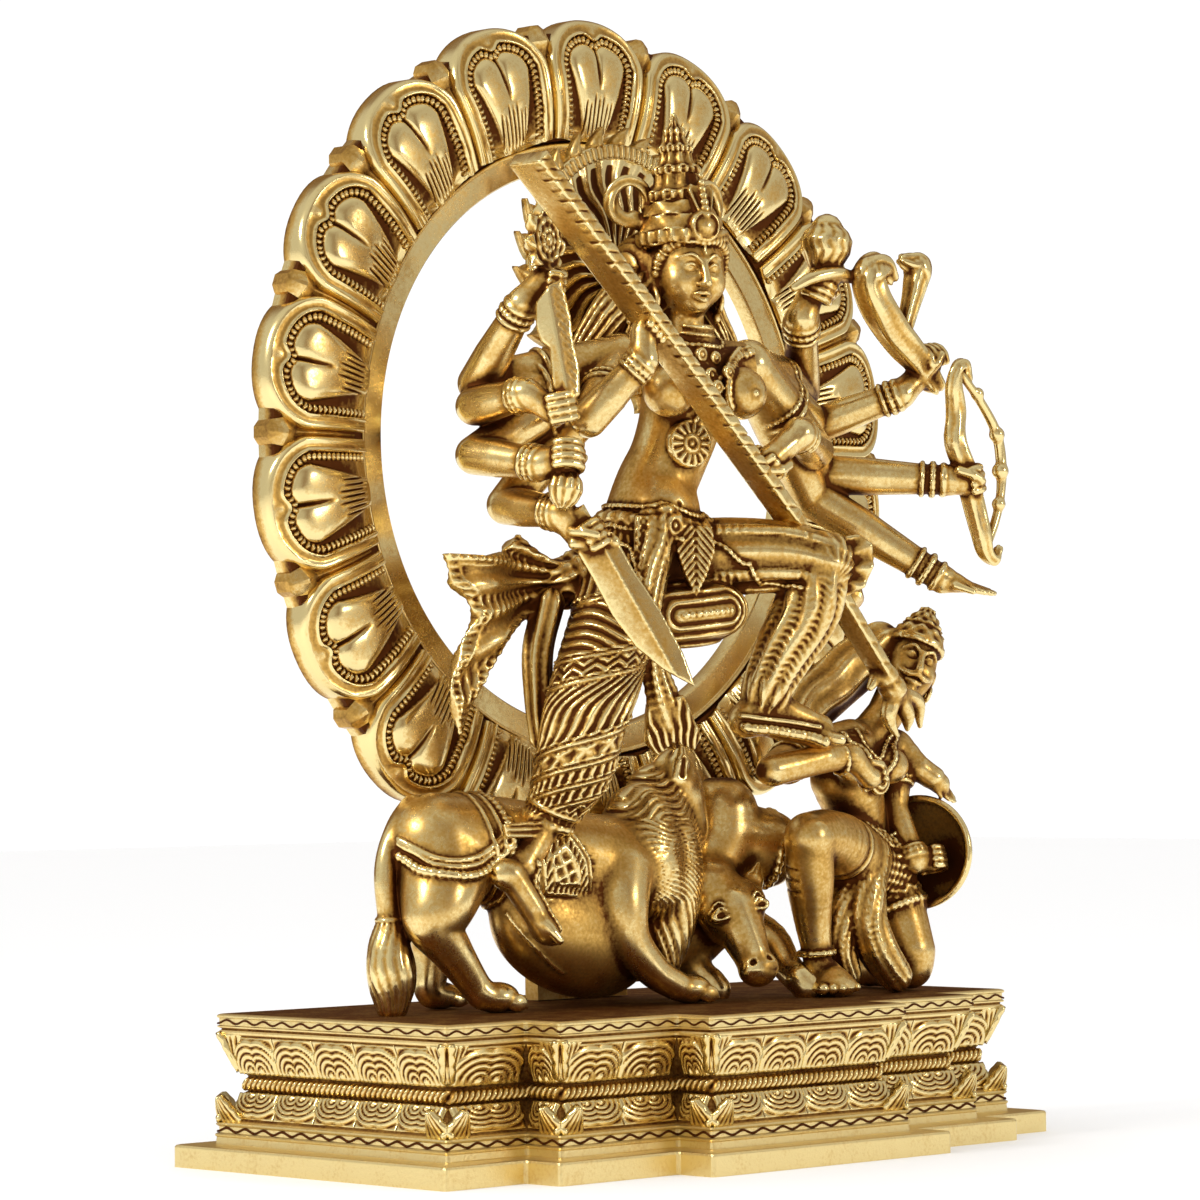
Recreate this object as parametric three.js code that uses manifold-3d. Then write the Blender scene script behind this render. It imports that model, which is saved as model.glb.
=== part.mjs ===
// A cast brass group: a many-armed goddess before a lotus-petal halo, with her lion, the
// buffalo and the kneeling demon, on a stepped plinth with rows of lotus petals.
// Millimetres, +Z up. The group faces -Y and the origin is under the middle of the plinth.
import * as THREE from 'three';
import { mergeVertices } from 'three/addons/utils/BufferGeometryUtils.js';
import Module from 'manifold-3d';

const wasm = await Module();
wasm.setup();

// Clearance that separately cast pieces keep where they meet.
const seam = 0.3;

// Plinth: a slab and a stepped body whose front comes forward in two steps.
const slabHeight = 7;
const slabMargin = 9.5;
const bodyHeight = 40;
const centreHalf = 44;
const middleWing = 49;
const outerWing = 32;
const backY = 43.5;
const sideFrontY = -61.5;
const frontStep = 14.5;
const waistInset = 6.4;
const rollInset = 4.4;
const rollRadius = 1.9;
const bandHeight = 5;
const lineInset = 0.8;
const petalPitch = 20;
const petalRelief = 3.2;
const leafWidth = 4.5;

// Halo: a flat inner band, a raised lip and petals that bow forward.
const haloInner = 90;
const haloBand = 9;
const haloPetalLength = 41;
const haloPetals = 18;
const haloCentreZ = 177;
const haloFrontY = 3.8;
const haloThick = 6;
const petalBow = 8;
const petalEdgeBack = 6;
const petalOverlap = 1.03;
const haloFootWidth = 40;

// Nimbus behind the goddess's head.
const nimbusRadius = 40;
const nimbusSpike = 5;
const nimbusSpikes = 14;
const nimbusThick = 3;

// Trident shaft: a strap that narrows towards the prongs.
const shaftDepthTop = 14;
const shaftDepthEnd = 8;
const shaftThick = 5.8;

// Bands on the wrists, sword blade and shield.
const braceletProud = 1.3;
const braceletWidth = 4;
const bladeWidth = 12;
const bladeThick = 3.5;
const shieldRadius = 18.5;
const shieldDepth = 6;
const shieldWall = 2.2;

const deckZ = slabHeight + bodyHeight;
const middleHalf = centreHalf + middleWing;
const outerHalf = middleHalf + outerWing;

const brass = (color, roughness = 0.32) =>
  new THREE.MeshStandardMaterial({ color, roughness, metalness: 1 });
const at = (p) => new THREE.Vector3(p[0], p[1], p[2]);
const range = (n) => [...Array(n).keys()];

// A closed geometry turned into a solid that can be joined and cut.
function solid(geometry) {
  const bare = geometry.clone();
  bare.deleteAttribute('normal');
  bare.deleteAttribute('uv');
  const merged = mergeVertices(bare, 1e-4);
  const index = merged.index.array;
  const kept = [];
  for (let i = 0; i < index.length; i += 3) {
    const [a, b, c] = [index[i], index[i + 1], index[i + 2]];
    if (a !== b && b !== c && c !== a) kept.push(a, b, c);
  }
  return new wasm.Manifold(new wasm.Mesh({
    numProp: 3,
    vertProperties: new Float32Array(merged.attributes.position.array),
    triVerts: new Uint32Array(kept),
  }));
}

const join = (solids) => solids.reduce((whole, piece) => whole.add(piece));

function meshOf(name, body, material) {
  const { vertProperties, triVerts } = body.getMesh();
  const geometry = new THREE.BufferGeometry();
  geometry.setAttribute('position', new THREE.BufferAttribute(vertProperties, 3));
  geometry.setIndex(new THREE.BufferAttribute(triVerts, 1));
  geometry.computeVertexNormals();
  const mesh = new THREE.Mesh(geometry, material);
  mesh.name = name;
  return mesh;
}

// A closed skin over rings of equal length, its first and last ring filled in. Rings
// follow one another along Z, and their outline is read in the XY plane.
function loft(rings) {
  const count = rings[0].length;
  const points = rings.flat();
  const index = [];
  for (const r of range(rings.length - 1)) {
    for (const i of range(count)) {
      const j = (i + 1) % count;
      const [a, b, c, d] = [r * count + i, r * count + j, (r + 1) * count + j, (r + 1) * count + i];
      index.push(a, b, c, a, c, d);
    }
  }
  const last = (rings.length - 1) * count;
  const foot = THREE.ShapeUtils.triangulateShape(rings[0].map((p) => new THREE.Vector2(p.x, p.y)), []);
  for (const [a, b, c] of foot) index.push(c, b, a);
  const top = THREE.ShapeUtils.triangulateShape(rings.at(-1).map((p) => new THREE.Vector2(p.x, p.y)), []);
  for (const [a, b, c] of top) index.push(last + a, last + b, last + c);
  const geometry = new THREE.BufferGeometry();
  geometry.setAttribute('position', new THREE.Float32BufferAttribute(points.flatMap((p) => [p.x, p.y, p.z]), 3));
  geometry.setIndex(index);
  return geometry;
}

// Moves a geometry built along +Y so that it runs from a towards b.
function aim(geometry, a, b) {
  const turn = new THREE.Quaternion().setFromUnitVectors(
    new THREE.Vector3(0, 1, 0), b.clone().sub(a).normalize());
  return geometry.applyQuaternion(turn).translate(a.x, a.y, a.z);
}

// One closed tube with blunt ends through stations [x, y, z, radius]. Every ring stands
// square to the way the limb takes there, and no ring is turned against the one before.
function tube(stations, sides, grow) {
  const points = stations.map(at);
  const steps = points.slice(1).map((p, i) => p.clone().sub(points[i]).normalize());
  const ways = points.map((_, i) => (steps[i - 1] ?? steps[0]).clone().add(steps[i] ?? steps.at(-1)).normalize());
  const reach = (i, side) => points.at(i).clone().addScaledVector(ways.at(i), side * (stations.at(i)[3] + grow) * 0.8);
  const side = new THREE.Vector3(0.36, 0.48, 0.8);
  const vertices = [reach(0, -1)];
  points.forEach((centre, r) => {
    side.addScaledVector(ways[r], -side.dot(ways[r])).normalize();
    const other = ways[r].clone().cross(side);
    for (const i of range(sides)) {
      const turn = 2 * Math.PI * i / sides;
      vertices.push(centre.clone().addScaledVector(side, (stations[r][3] + grow) * Math.cos(turn))
        .addScaledVector(other, (stations[r][3] + grow) * Math.sin(turn)));
    }
  });
  vertices.push(reach(-1, 1));
  const index = [];
  for (const i of range(sides)) {
    const j = (i + 1) % sides;
    index.push(0, 1 + j, 1 + i);
    for (const r of range(points.length - 1)) {
      const [near, far] = [1 + r * sides, 1 + (r + 1) * sides];
      index.push(near + i, near + j, far + j, near + i, far + j, far + i);
    }
    const top = 1 + (points.length - 1) * sides;
    index.push(top + i, top + j, vertices.length - 1);
  }
  return new THREE.BufferGeometry().setFromPoints(vertices).setIndex(index);
}

// Forms of a figure are functions of how far their skin is pushed out, so that a
// neighbour can be cut back from a slightly fuller copy.
const chain = (stations, sides = 6) => (grow) => solid(tube(stations, sides, grow));

const ball = (centre, radii, sides = 6, rows = 4) => (grow) => {
  const sphere = new THREE.SphereGeometry(1, sides, rows).rotateX(Math.PI / 2);
  sphere.scale(radii[0] + grow, radii[1] + grow, radii[2] + grow);
  return solid(sphere.translate(...centre));
};

const forms = (list, grow = 0) => join(list.map((form) => form(grow)));

// A flat plate of an outline given in its own plane, centred on its thickness.
function plate(outline, thick, origin, across, upward) {
  const shape = new THREE.Shape(outline.map(([x, y]) => new THREE.Vector2(x, y)));
  const geometry = new THREE.ExtrudeGeometry(shape, { depth: thick, bevelEnabled: false });
  geometry.translate(0, 0, -thick / 2);
  const u = at(across).normalize();
  const w = u.clone().cross(at(upward)).normalize();
  const v = w.clone().cross(u);
  geometry.applyMatrix4(new THREE.Matrix4().makeBasis(u, v, w));
  return solid(geometry.translate(...origin));
}

// Outline of the plinth's plan, counter-clockwise, drawn in by an inset on every side.
function plan(inset, z) {
  const fronts = range(3).map((i) => sideFrontY - i * frontStep + inset);
  const halves = [outerHalf, middleHalf, centreHalf].map((half) => half - inset);
  const right = halves.flatMap((half, i) => [[half, i ? fronts[i - 1] : backY - inset], [half, fronts[i]]]);
  const left = right.map(([x, y]) => [-x, y]);
  return [...left, ...right.reverse()].map(([x, y]) => new THREE.Vector3(x, y, z));
}

// Plan faces as stretches along which petals are set: start, direction, outward side.
function plinthFaces(inset) {
  const corners = plan(inset, 0);
  return corners.map((start, i) => {
    const along = corners[(i + 1) % corners.length].clone().sub(start);
    const length = along.length();
    along.normalize();
    return { start, along, length, out: new THREE.Vector3(along.y, -along.x, 0) };
  });
}

const waistZ = slabHeight + bodyHeight * 0.45;
const upperRow = [waistZ + rollRadius + 2, deckZ - bandHeight - 2];
const lowerRow = [slabHeight + bandHeight + 2.5, waistZ - rollRadius - 2];

// Petals of one row along every face with room for one; the back is plain.
function petalRow([low, high]) {
  const petals = [];
  for (const { start, along, length, out } of plinthFaces((waistInset + 2 * lineInset) / 2)) {
    if (length < petalPitch || out.y > 0) continue;
    const count = Math.round(length / petalPitch);
    const pitch = length / count;
    for (const i of range(count)) {
      const spot = start.clone().addScaledVector(along, (i + 0.5) * pitch).addScaledVector(out, 0.2);
      const boss = new THREE.ConeGeometry(1, 2, 6).rotateX(Math.PI).rotateY(Math.PI / 6);
      boss.scale(pitch * 0.5, petalRelief, (high - low) / 2).rotateZ(Math.atan2(along.y, along.x));
      petals.push(solid(boss.translate(spot.x, spot.y, (low + high) / 2)));
    }
  }
  return petals;
}

// Pointed leaves that wrap every corner standing outwards, one hanging and one rising.
function cornerLeaves() {
  const faces = plinthFaces(leafWidth * 0.4);
  const leaves = [];
  faces.forEach(({ start, along }, i) => {
    const before = faces[(i + faces.length - 1) % faces.length].along;
    if (before.clone().cross(along).z < 0) return;
    const rows = [[upperRow, -1], [lowerRow, 1]];
    for (const [[low, high], up] of rows) {
      const leaf = new THREE.ConeGeometry(leafWidth, high - low + 1, 4).rotateX(up * Math.PI / 2);
      leaves.push(solid(leaf.translate(start.x, start.y, (low + high - up) / 2)));
    }
  });
  return leaves;
}

function plinth() {
  const bandTop = slabHeight + bandHeight + 1;
  const profile = [
    [0, -slabMargin], [slabHeight, -slabMargin], [slabHeight, 0],
    [bandTop, 0], [bandTop, lineInset], [lowerRow[0], 2 * lineInset], [lowerRow[1], waistInset],
    [waistZ - rollRadius, waistInset], [waistZ, rollInset], [waistZ + rollRadius, waistInset],
    [upperRow[1], 2 * lineInset], [deckZ - bandHeight, lineInset],
    [deckZ - bandHeight, 0], [deckZ, 0],
  ];
  const body = solid(loft(profile.map(([z, inset]) => plan(inset, z))));
  return join([body, ...petalRow(upperRow), ...petalRow(lowerRow), ...cornerLeaves()]);
}

const haloLip = haloInner + haloBand;
const haloOuter = haloLip - 1 + haloPetalLength;

// One halo petal, pointing up from the ring's middle: a raised rim, a groove and a cleft
// heart bowed forward. Sides are shares of the half-width, each with its depth below the bow.
function haloPetal(grow) {
  const sides = [[-1, 1], [-0.74, 0], [0, 0.25]];
  const across = [...sides, ...sides.slice(0, -1).map(([s, sink]) => [-s, sink]).reverse()];
  const slope = petalOverlap * Math.tan(Math.PI / haloPetals);
  const rings = [0, 0.5, 0.82, 1].map((share) => {
    const radius = haloOuter - haloPetalLength * (1 - share);
    const round = share < 0.55 ? 1 : Math.sqrt(1 - ((share - 0.55) / 0.47) ** 2);
    const width = slope * Math.min(radius, haloOuter - haloPetalLength * 0.35) * round + grow;
    const edge = haloFrontY + petalEdgeBack * share;
    const bow = petalBow * Math.sin(Math.PI * (0.15 + 0.75 * share));
    const front = across.map(([s, sink]) =>
      [s * width, (sink === 1 ? edge : haloFrontY - bow * (1 - sink)) - grow]);
    const back = edge + haloThick + grow;
    return [...front, [width, back], [-width, back]].map(([x, y]) => new THREE.Vector3(x, y, radius));
  });
  return loft(rings);
}

// Flat band, raised lip, petals and the foot that carries the ring on the plinth.
function halo(grow = 0) {
  const [inner, back] = [haloInner - grow, haloThick + grow];
  const profile = [[inner, -grow], [haloLip - 1, -grow], [haloLip - 1, -2 - grow],
    [haloLip + 3, -2 - grow], [haloLip + 3, back], [inner, back], [inner, -grow]];
  const points = profile.map(([r, y]) => new THREE.Vector2(r, y));
  const ring = new THREE.LatheGeometry(points, 2 * haloPetals).translate(0, haloFrontY, haloCentreZ + deckZ);
  const petals = range(haloPetals).map((i) => {
    const petal = haloPetal(grow).rotateY(2 * Math.PI * i / haloPetals);
    return solid(petal.translate(0, 0, haloCentreZ + deckZ));
  });
  const footTop = haloCentreZ - haloOuter + 12;
  const foot = new THREE.BoxGeometry(haloFootWidth + 2 * grow, haloThick + 2 * grow, footTop - seam);
  foot.translate(0, haloFrontY + petalEdgeBack + haloThick / 2, deckZ + (footTop + seam) / 2);
  return join([solid(ring), ...petals, solid(foot)]);
}

// Figures. Stations are [x, y, height over the deck, radius], from the feet of each figure.
const raised = (p) => [p[0], p[1], p[2] + deckZ, ...p.slice(3)];
const limb = (stations, sides) => chain(stations.map(raised), sides);
const bulk = (centre, radii, ...rest) => ball(raised(centre), radii, ...rest);

// A figure ends above the deck and before the ring, both times leaving the seam.
function standing(body) {
  const size = 4 * outerHalf;
  const below = new THREE.BoxGeometry(size, size, size).translate(0, 0, deckZ + seam - size / 2);
  const behind = new THREE.BoxGeometry(size, size, size).translate(
    0, haloFrontY - petalBow - seam + size / 2, deckZ + haloCentreZ - haloOuter - seam + size / 2);
  return body.subtract(solid(below)).subtract(solid(behind));
}

const shoulderR = [-19.5, -31, 203, 7];
const shoulderL = [30, -38, 203, 7];

// Arms of the goddess: elbow, wrist and hand after the shoulder.
const arms = [
  [shoulderR, [-49.5, -46, 181.5, 6], [-38, -59, 198, 4.2], [-36, -59, 208.8, 6]],
  [shoulderR, [-69, -17, 193.5, 6.5], [-69.5, -38, 216.5, 4.3], [-62, -42, 223, 5]],
  [shoulderR, [-73, -20, 186, 6.2], [-72, -42, 188.5, 4.3], [-65.5, -50, 183, 5.4]],
  [shoulderR, [-73, -20, 171, 6.4], [-69.5, -46, 167, 4.4], [-66, -53, 170, 5.4]],
  [shoulderR, [-60, -20, 156, 6.5], [-60, -44, 152.5, 4.4], [-54.5, -51, 144, 5.8]],
  [shoulderL, [59, -40, 176.5, 6.5], [33.5, -57, 180, 4.4], [19, -58.5, 169, 6.2]],
  [shoulderL, [76.5, -18, 198, 6.5], [57.5, -36, 219.5, 4.8], [61, -41, 230, 5.6]],
  [shoulderL, [75, -25, 186, 6.2], [92, -48, 196, 4.3], [102, -52, 208, 5]],
  [shoulderL, [73, -28, 170, 7], [102.5, -59, 167.5, 4.4], [108.5, -63, 167.5, 5]],
  [shoulderL, [69.5, -28, 162.5, 7.2], [101.5, -57, 135, 4.3], [116, -68, 129.5, 2.4]],
];

// The bracelet is a flare of the arm that ends at the wrist.
function braceleted([shoulder, elbow, wrist, hand]) {
  const [a, b] = [at(elbow), at(wrist)];
  const along = b.clone().sub(a).normalize();
  const station = (back, proud) => [...b.clone().addScaledVector(along, -back).toArray(), wrist[3] + proud];
  return [shoulder, elbow, station(braceletWidth, 0), station(0, braceletProud), hand];
}

const hipR = [-14.5, -27, 138, 12];
const hipL = [3, -29, 139, 12];
const legR = [
  limb([hipR, [-45, -42, 98, 12.5], [-46.5, -34, 75, 12], [-50, -27, 61, 6.5]], 8),
  limb([[-50, -27, 61, 5.5], [-63, -28, 48, 4.5], [-57, -34, 24, 3.4]]),
];
const legL = [
  limb([hipL, [39, -60, 138.5, 9.5], [23, -49, 95, 7]], 8),
  limb([[19, -45, 88.5, 5], [32, -51, 86.5, 4.5], [45, -58, 85, 3]]),
];

// Outline of a wheel of flames: spikes standing on a disc.
const flames = (radius, spike, count) => range(2 * count).map((i) => {
  const r = i % 2 ? radius : radius + spike;
  const turn = Math.PI * i / count;
  return [r * Math.sin(turn), r * Math.cos(turn)];
});

function attributes() {
  const upright = [0, 0, 1];
  const blade = [[-1.5, 0], [-3.6, 12], [-3, 26], [-5, 36], [2, 30], [4.2, 14], [2, 0]];
  const sword = [[-3, 0], [-bladeWidth / 2, 12], [-bladeWidth / 2, 30], [-2, 46], [4, 50],
    [bladeWidth / 2, 28], [bladeWidth / 2, 8], [3, 0]];
  const sash = [[-40, 139], [-51, 147], [-71, 140], [-86, 139], [-82, 126], [-80, 113], [-83, 97],
    [-79.5, 85], [-70, 104], [-57, 118], [-42, 124]];
  return [
    plate(flames(nimbusRadius, nimbusSpike, nimbusSpikes), nimbusThick,
      raised([2, -8, 234]), [1, 0, 0], upright),
    plate(flames(9.5, 3, 10), 5, raised([-63.5, -42, 235]), [0.95, 0.3, 0], upright),
    plate(blade, bladeThick, raised([-66.5, -51, 187]), [0.7, -0.7, 0], [-0.2, 0, 1]),
    plate(sword, bladeThick, raised([-53.5, -52, 140]), [0.75, -0.66, 0.1], [0.38, -0.3, -0.87]),
    plate(sash.map(([x, z]) => [x, z + deckZ]), 6, [0, -13, 0], [1, 0.1, 0], upright),
  ];
}

const durgaForms = [
  limb([[-4.5, -27, 141, 14.5], [-1.5, -28, 163, 11.2], [4, -32, 180, 12.4], [5.5, -34, 193, 14.5]], 8),
  limb([[-17, -31, 202, 7.5], [5, -35, 204, 9], [28, -38, 202, 7.5]]),
  bulk([-11, -43, 192, 0], [8.5, 8.5, 8.5]), bulk([16, -48, 192.5, 0], [8.5, 8.5, 8.5]),
  limb([[7, -37, 205, 7], [5, -38, 217, 5.8]]),
  bulk([3, -37.5, 231.5], [11.6, 12.2, 14.8], 8, 6),
  bulk([0, -22, 226], [16, 15, 19], 8, 4),
  limb([[-14, -22, 222, 9], [-27, -21, 207, 6]]), limb([[18, -24, 222, 8], [33, -27, 206, 5.5]]),
  ...legR, ...legL,
  bulk([1, -41, 124], [17, 9, 10]),
  limb([[-14, -40, 146, 6], [-22, -43, 128, 5], [-21, -44, 106, 5], [-14, -45, 84, 3]]),
  limb([[36, -58, 134, 9], [30, -53, 116, 8.5], [22, -49, 101, 6]]),
  limb([[40, -61, 139, 7], [51, -62, 140, 6]]),
  limb([[-30, -22, 136, 8], [-44, -19, 131, 6]]),
  limb([[-45, -18, 120, 5], [-49, -22, 98, 4.5], [-50, -24, 84, 4]]),
  ...arms.map((stations) => limb(braceleted(stations))),
  limb([[63.5, -42, 252, 2.5], [63.5, -42, 245, 8.6], [62.5, -42, 236, 6]]),
  limb([[-65, -53, 165, 3], [-61, -54, 157, 4.6]]),
  limb([[102.5, -52, 213, 4], [88, -52, 212, 6], [75.5, -52, 218, 5.5], [71, -52, 228, 4.5],
    [78, -52, 233, 4.5], [88, -52, 225, 4.5], [94, -52, 238, 5]]),
  limb([[103.5, -64, 201.5, 4], [103, -62, 184, 3.6], [110.5, -63, 163, 4.6], [114.5, -64, 143.5, 4]]),
  limb([[106, -64, 199, 2.2], [123, -64, 179, 3], [123, -64, 163, 2.4], [115, -64, 146, 3.4]]),
  limb([[-12, -34, 256, 2.6], [-18, -35, 261, 2.6], [-24, -34, 256, 2.6], [-20, -33, 249, 2.6], [-11, -34, 247, 2.6]], 6),
];

// Tiers of the tall crown: [radius, height over the deck].
function crown() {
  const tiers = [[0, 238], [12.4, 240], [13, 246], [10.6, 248], [11, 256], [8.6, 258], [9, 264],
    [6, 266], [6.4, 271], [3.4, 273], [3.2, 277], [0, 282]];
  const lathe = new THREE.LatheGeometry(tiers.map(([r, z]) => new THREE.Vector2(r, z)), 8);
  return solid(lathe.rotateX(Math.PI / 2).translate(1.5, -36, deckZ));
}

const lionFront = [
  limb([[-4, -18, 48, 17], [12, -18, 58, 13]], 8),
  bulk([20, -16, 64], [8.5, 9.5, 15.5], 8, 6),
  limb([[15, -20, 50, 12.5], [9, -24, 34, 12], [1, -26, 20, 7.5]], 8),
  limb([[6, -12, 34, 8], [15, -14, 20, 5.5], [21, -15, 14, 5]]),
];
const lionForms = [
  ...lionFront,
  limb([[-84, -12, 54, 16.5], [-43.5, -14, 46, 16.5], [-6, -20, 42, 17]], 8),
  bulk([-36, -18, 24], [28, 17, 22], 8, 5),
  limb([[18, -19, 76, 3.6], [17, -20, 82, 1.4]], 6), limb([[25, -12, 72, 7], [31, -8, 77, 4.5]]),
  limb([[-82, -14, 44, 15], [-94, -21, 30, 9.5], [-90, -21, 23, 6.8], [-76, -24, 6, 5]]),
  bulk([-70, -25, 4], [9, 6, 5]),
  limb([[-76, -2, 40, 12], [-71, 3, 22, 8], [-73, 3, 6, 5.4]]), bulk([-68, 3, 3.5], [8, 5.5, 4.5]),
  limb([[-20, -27, 44, 11.5], [-22, -31, 32, 9], [-19, -33, 19, 6.8], [-4, -37, 5.5, 4.8]]),
  bulk([1, -38.5, 4], [8.5, 6, 5]),
  limb([[-90, -6, 64, 5], [-101, -8, 43, 3.2], [-99, -9, 25, 3.2]]),
  limb([[-99, -9, 25, 3.4], [-101, -10.5, 13, 6.4], [-101, -11, 4, 5.5]]),
];

const buffaloForms = [
  bulk([20, -9, 17], [37, 12, 19], 8, 5),
  limb([[24, -10, 22, 16], [31, -16, 46, 14.5], [38, -16, 59, 12.5]], 8),
  limb([[38, -15, 50, 13.5], [55, -22, 47, 13]], 10),
  limb([[28.5, -32, 35, 9.8], [31, -45, 8.5, 6.6]], 8),
  limb([[27, -33, 34, 4.5], [12, -35, 36, 2.4]], 6), limb([[30, -35, 34, 5], [41, -41, 33, 2.2]], 6),
  limb([[38, -22, 24, 8], [49, -40, 5, 4.8]]), limb([[25, -14, 14, 7], [26, -22, 5, 5]]),
];
const neckHollow = chain([[52, -21, 47, 9.5], [75, -30, 47, 9.5]].map(raised), 10);

const demonForms = [
  limb([[92, -29, 41, 11.5], [90, -30, 52, 9.3], [80, -33, 70, 12.6]], 8),
  limb([[61, -33, 79, 7], [82, -33, 80, 8], [104, -32, 79, 7]]),
  limb([[90, -34, 84, 7], [102, -35, 98, 6.5]]),
  bulk([109, -36, 108], [9.5, 9.6, 13], 8, 6),
  limb([[114, -35, 116, 8.5], [122, -34, 124, 5.5]], 8),
  limb([[104, -27, 112, 9], [86, -20, 100, 9], [74, -17, 88, 8.5]], 8),
  limb([[86, -33, 42, 10.5], [46, -47, 52, 7.8]]),
  limb([[45, -47, 52, 7.8], [54, -42, 22, 4.8], [55, -42, 8, 5]]), limb([[56, -42, 5, 4.5], [66, -47, 4, 4]]),
  limb([[98, -30, 40, 10], [100, -42, 14, 8]]), limb([[100, -42, 8, 7.5], [106, -18, 7, 6]]),
  limb([[61, -33, 79, 6.5], [25, -51, 73, 4.8], [57, -56, 77.5, 3.8], [67, -56, 70, 4.8]]),
  limb([[104, -32, 79, 6.5], [99, -36, 60, 4.8], [100, -44, 42, 4], [109, -47, 44, 4.8]]),
  limb([[104, -33, 78, 5], [109, -42, 72, 4], [117, -44, 66, 2.6]]),
  limb([[84, -37, 42, 8.5], [75, -42, 22, 7], [76, -43, 6, 6.5]]),
];

// A round shield seen from its hollow side.
function shield() {
  const inner = shieldRadius - shieldWall;
  const profile = [[0, 0], [inner * 0.6, shieldDepth * 0.12], [inner, shieldDepth * 0.8],
    [shieldRadius, shieldDepth * 0.75], [shieldRadius * 0.65, -shieldWall], [0, -shieldWall]];
  const dish = new THREE.LatheGeometry(profile.reverse().map(([r, y]) => new THREE.Vector2(r, y)), 12);
  return solid(aim(dish, at(raised([113, -37, 45])), at(raised([106, -44, 45]))));
}

// Stations of the trident's gently bowed shaft, from the prongs up to the butt.
const shaftStations = [[87, -48.5, 98], [31.7, -53.5, 153.5], [-32, -58, 209.5], [-88, -61, 257]];

function trident(grow = 0) {
  const curve = new THREE.CatmullRomCurve3(shaftStations.map((p) => at(raised(p))));
  const steps = 9;
  const rings = range(steps + 1).map((i) => {
    const share = i / steps;
    const depth = (shaftDepthEnd + (shaftDepthTop - shaftDepthEnd) * share) / 2 + grow;
    const side = curve.getTangentAt(share).cross(new THREE.Vector3(0, 1, 0)).normalize();
    return [[-1, -1], [-1, 1], [1, 1], [1, -1]].map(([s, d]) => curve.getPointAt(share)
      .addScaledVector(side, s * (shaftThick / 2 + grow)).add(new THREE.Vector3(0, d * depth, 0)));
  });
  const prongs = [
    limb([[85, -48.5, 100, 3.6], [78, -50, 95, 2.6], [88, -48, 84, 1.6]], 6),
    limb([[86, -48.5, 99, 3.6], [94, -47, 86, 1.6]], 6),
    limb([[86, -48.5, 99, 3.6], [98, -46, 97, 2.6], [102, -45, 87, 1.6]], 6),
  ];
  return join([solid(loft(rings)), ...prongs.map((form) => form(grow))]);
}

// Pieces give way to their neighbours where they touch, the fuller copy leaving the seam.
const shaftRoom = trident(seam);
const limbs = forms([...legR, ...legL], seam);
const durga = standing(join([forms(durgaForms), crown(), ...attributes()])).subtract(shaftRoom);
const lion = standing(forms(lionForms)).subtract(limbs);
const demon = standing(join([forms(demonForms), shield()])).subtract(shaftRoom).subtract(limbs);
const buffalo = standing(forms(buffaloForms)).subtract(neckHollow(0))
  .subtract(forms(lionFront, seam)).subtract(forms(demonForms, seam));

const pieces = {
  plinth: [plinth(), 0xb98f38], halo_ring: [halo(), 0xc79c40], trident: [trident(), 0xcaa045],
  durga: [durga, 0xd0a548], lion: [lion, 0xcda046], buffalo: [buffalo, 0xb98c36],
  demon: [demon, 0xc2973f],
};
const group = new THREE.Group();
for (const [name, [body, color]] of Object.entries(pieces)) {
  group.add(meshOf(name, body, brass(color)));
}
export default group;
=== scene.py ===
"""Durga figure: a cast brass group before a ring of lotus petals, on a stepped plinth.

Metres in Blender and millimetres in the modelling code, +Z up, the group faces -Y.
Heights in the figures' own coordinates are counted from the plinth's deck.
"""
import math
import bpy
import numpy as np
from mathutils import Matrix, Vector


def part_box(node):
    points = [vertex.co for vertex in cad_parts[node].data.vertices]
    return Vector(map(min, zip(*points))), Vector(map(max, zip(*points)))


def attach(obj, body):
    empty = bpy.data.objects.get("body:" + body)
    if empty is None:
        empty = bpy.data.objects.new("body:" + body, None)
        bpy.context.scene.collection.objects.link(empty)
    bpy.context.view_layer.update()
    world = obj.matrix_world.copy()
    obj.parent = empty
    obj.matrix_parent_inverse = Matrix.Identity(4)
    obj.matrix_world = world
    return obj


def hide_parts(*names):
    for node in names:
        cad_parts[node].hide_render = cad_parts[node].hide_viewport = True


bl_info = {
    "name": "Brass Durga Group",
    "version": (1, 0, 0),
    "blender": (4, 5, 0),
    "location": "View3D > Sidebar > Brass",
    "description": "Builds a cast brass goddess group with its petal ring and plinth",
    "category": "Add Mesh",
}

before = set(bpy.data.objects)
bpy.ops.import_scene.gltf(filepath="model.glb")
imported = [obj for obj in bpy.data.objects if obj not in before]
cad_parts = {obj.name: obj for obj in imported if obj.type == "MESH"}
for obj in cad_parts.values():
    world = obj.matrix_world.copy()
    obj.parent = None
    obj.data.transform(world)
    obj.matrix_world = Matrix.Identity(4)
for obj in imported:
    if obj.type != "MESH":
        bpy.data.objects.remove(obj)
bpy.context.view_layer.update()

MM = 0.001
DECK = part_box("plinth")[1].z / MM
RING_MIDDLE = DECK + 177.0
UP = (0, 0, 1)


# Sizes and colours a user would change

def length(name, description, millimetres):
    """A length property whose default is given in millimetres."""
    return bpy.props.FloatProperty(name=name, description=description, default=millimetres * MM,
                                   min=0.0, unit="LENGTH", precision=5)


def colour(name, description, code):
    """A colour property whose default is an sRGB hex code."""
    return bpy.props.FloatVectorProperty(name=name, description=description, subtype="COLOR",
                                         size=3, min=0.0, max=1.0, default=linear(code))


def linear(code):
    """An sRGB hex code as linear red, green and blue."""
    parts = [int(code[i:i + 2], 16) / 255 for i in (1, 3, 5)]
    return tuple(c / 12.92 if c <= 0.04045 else ((c + 0.055) / 1.055) ** 2.4 for c in parts)


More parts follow.
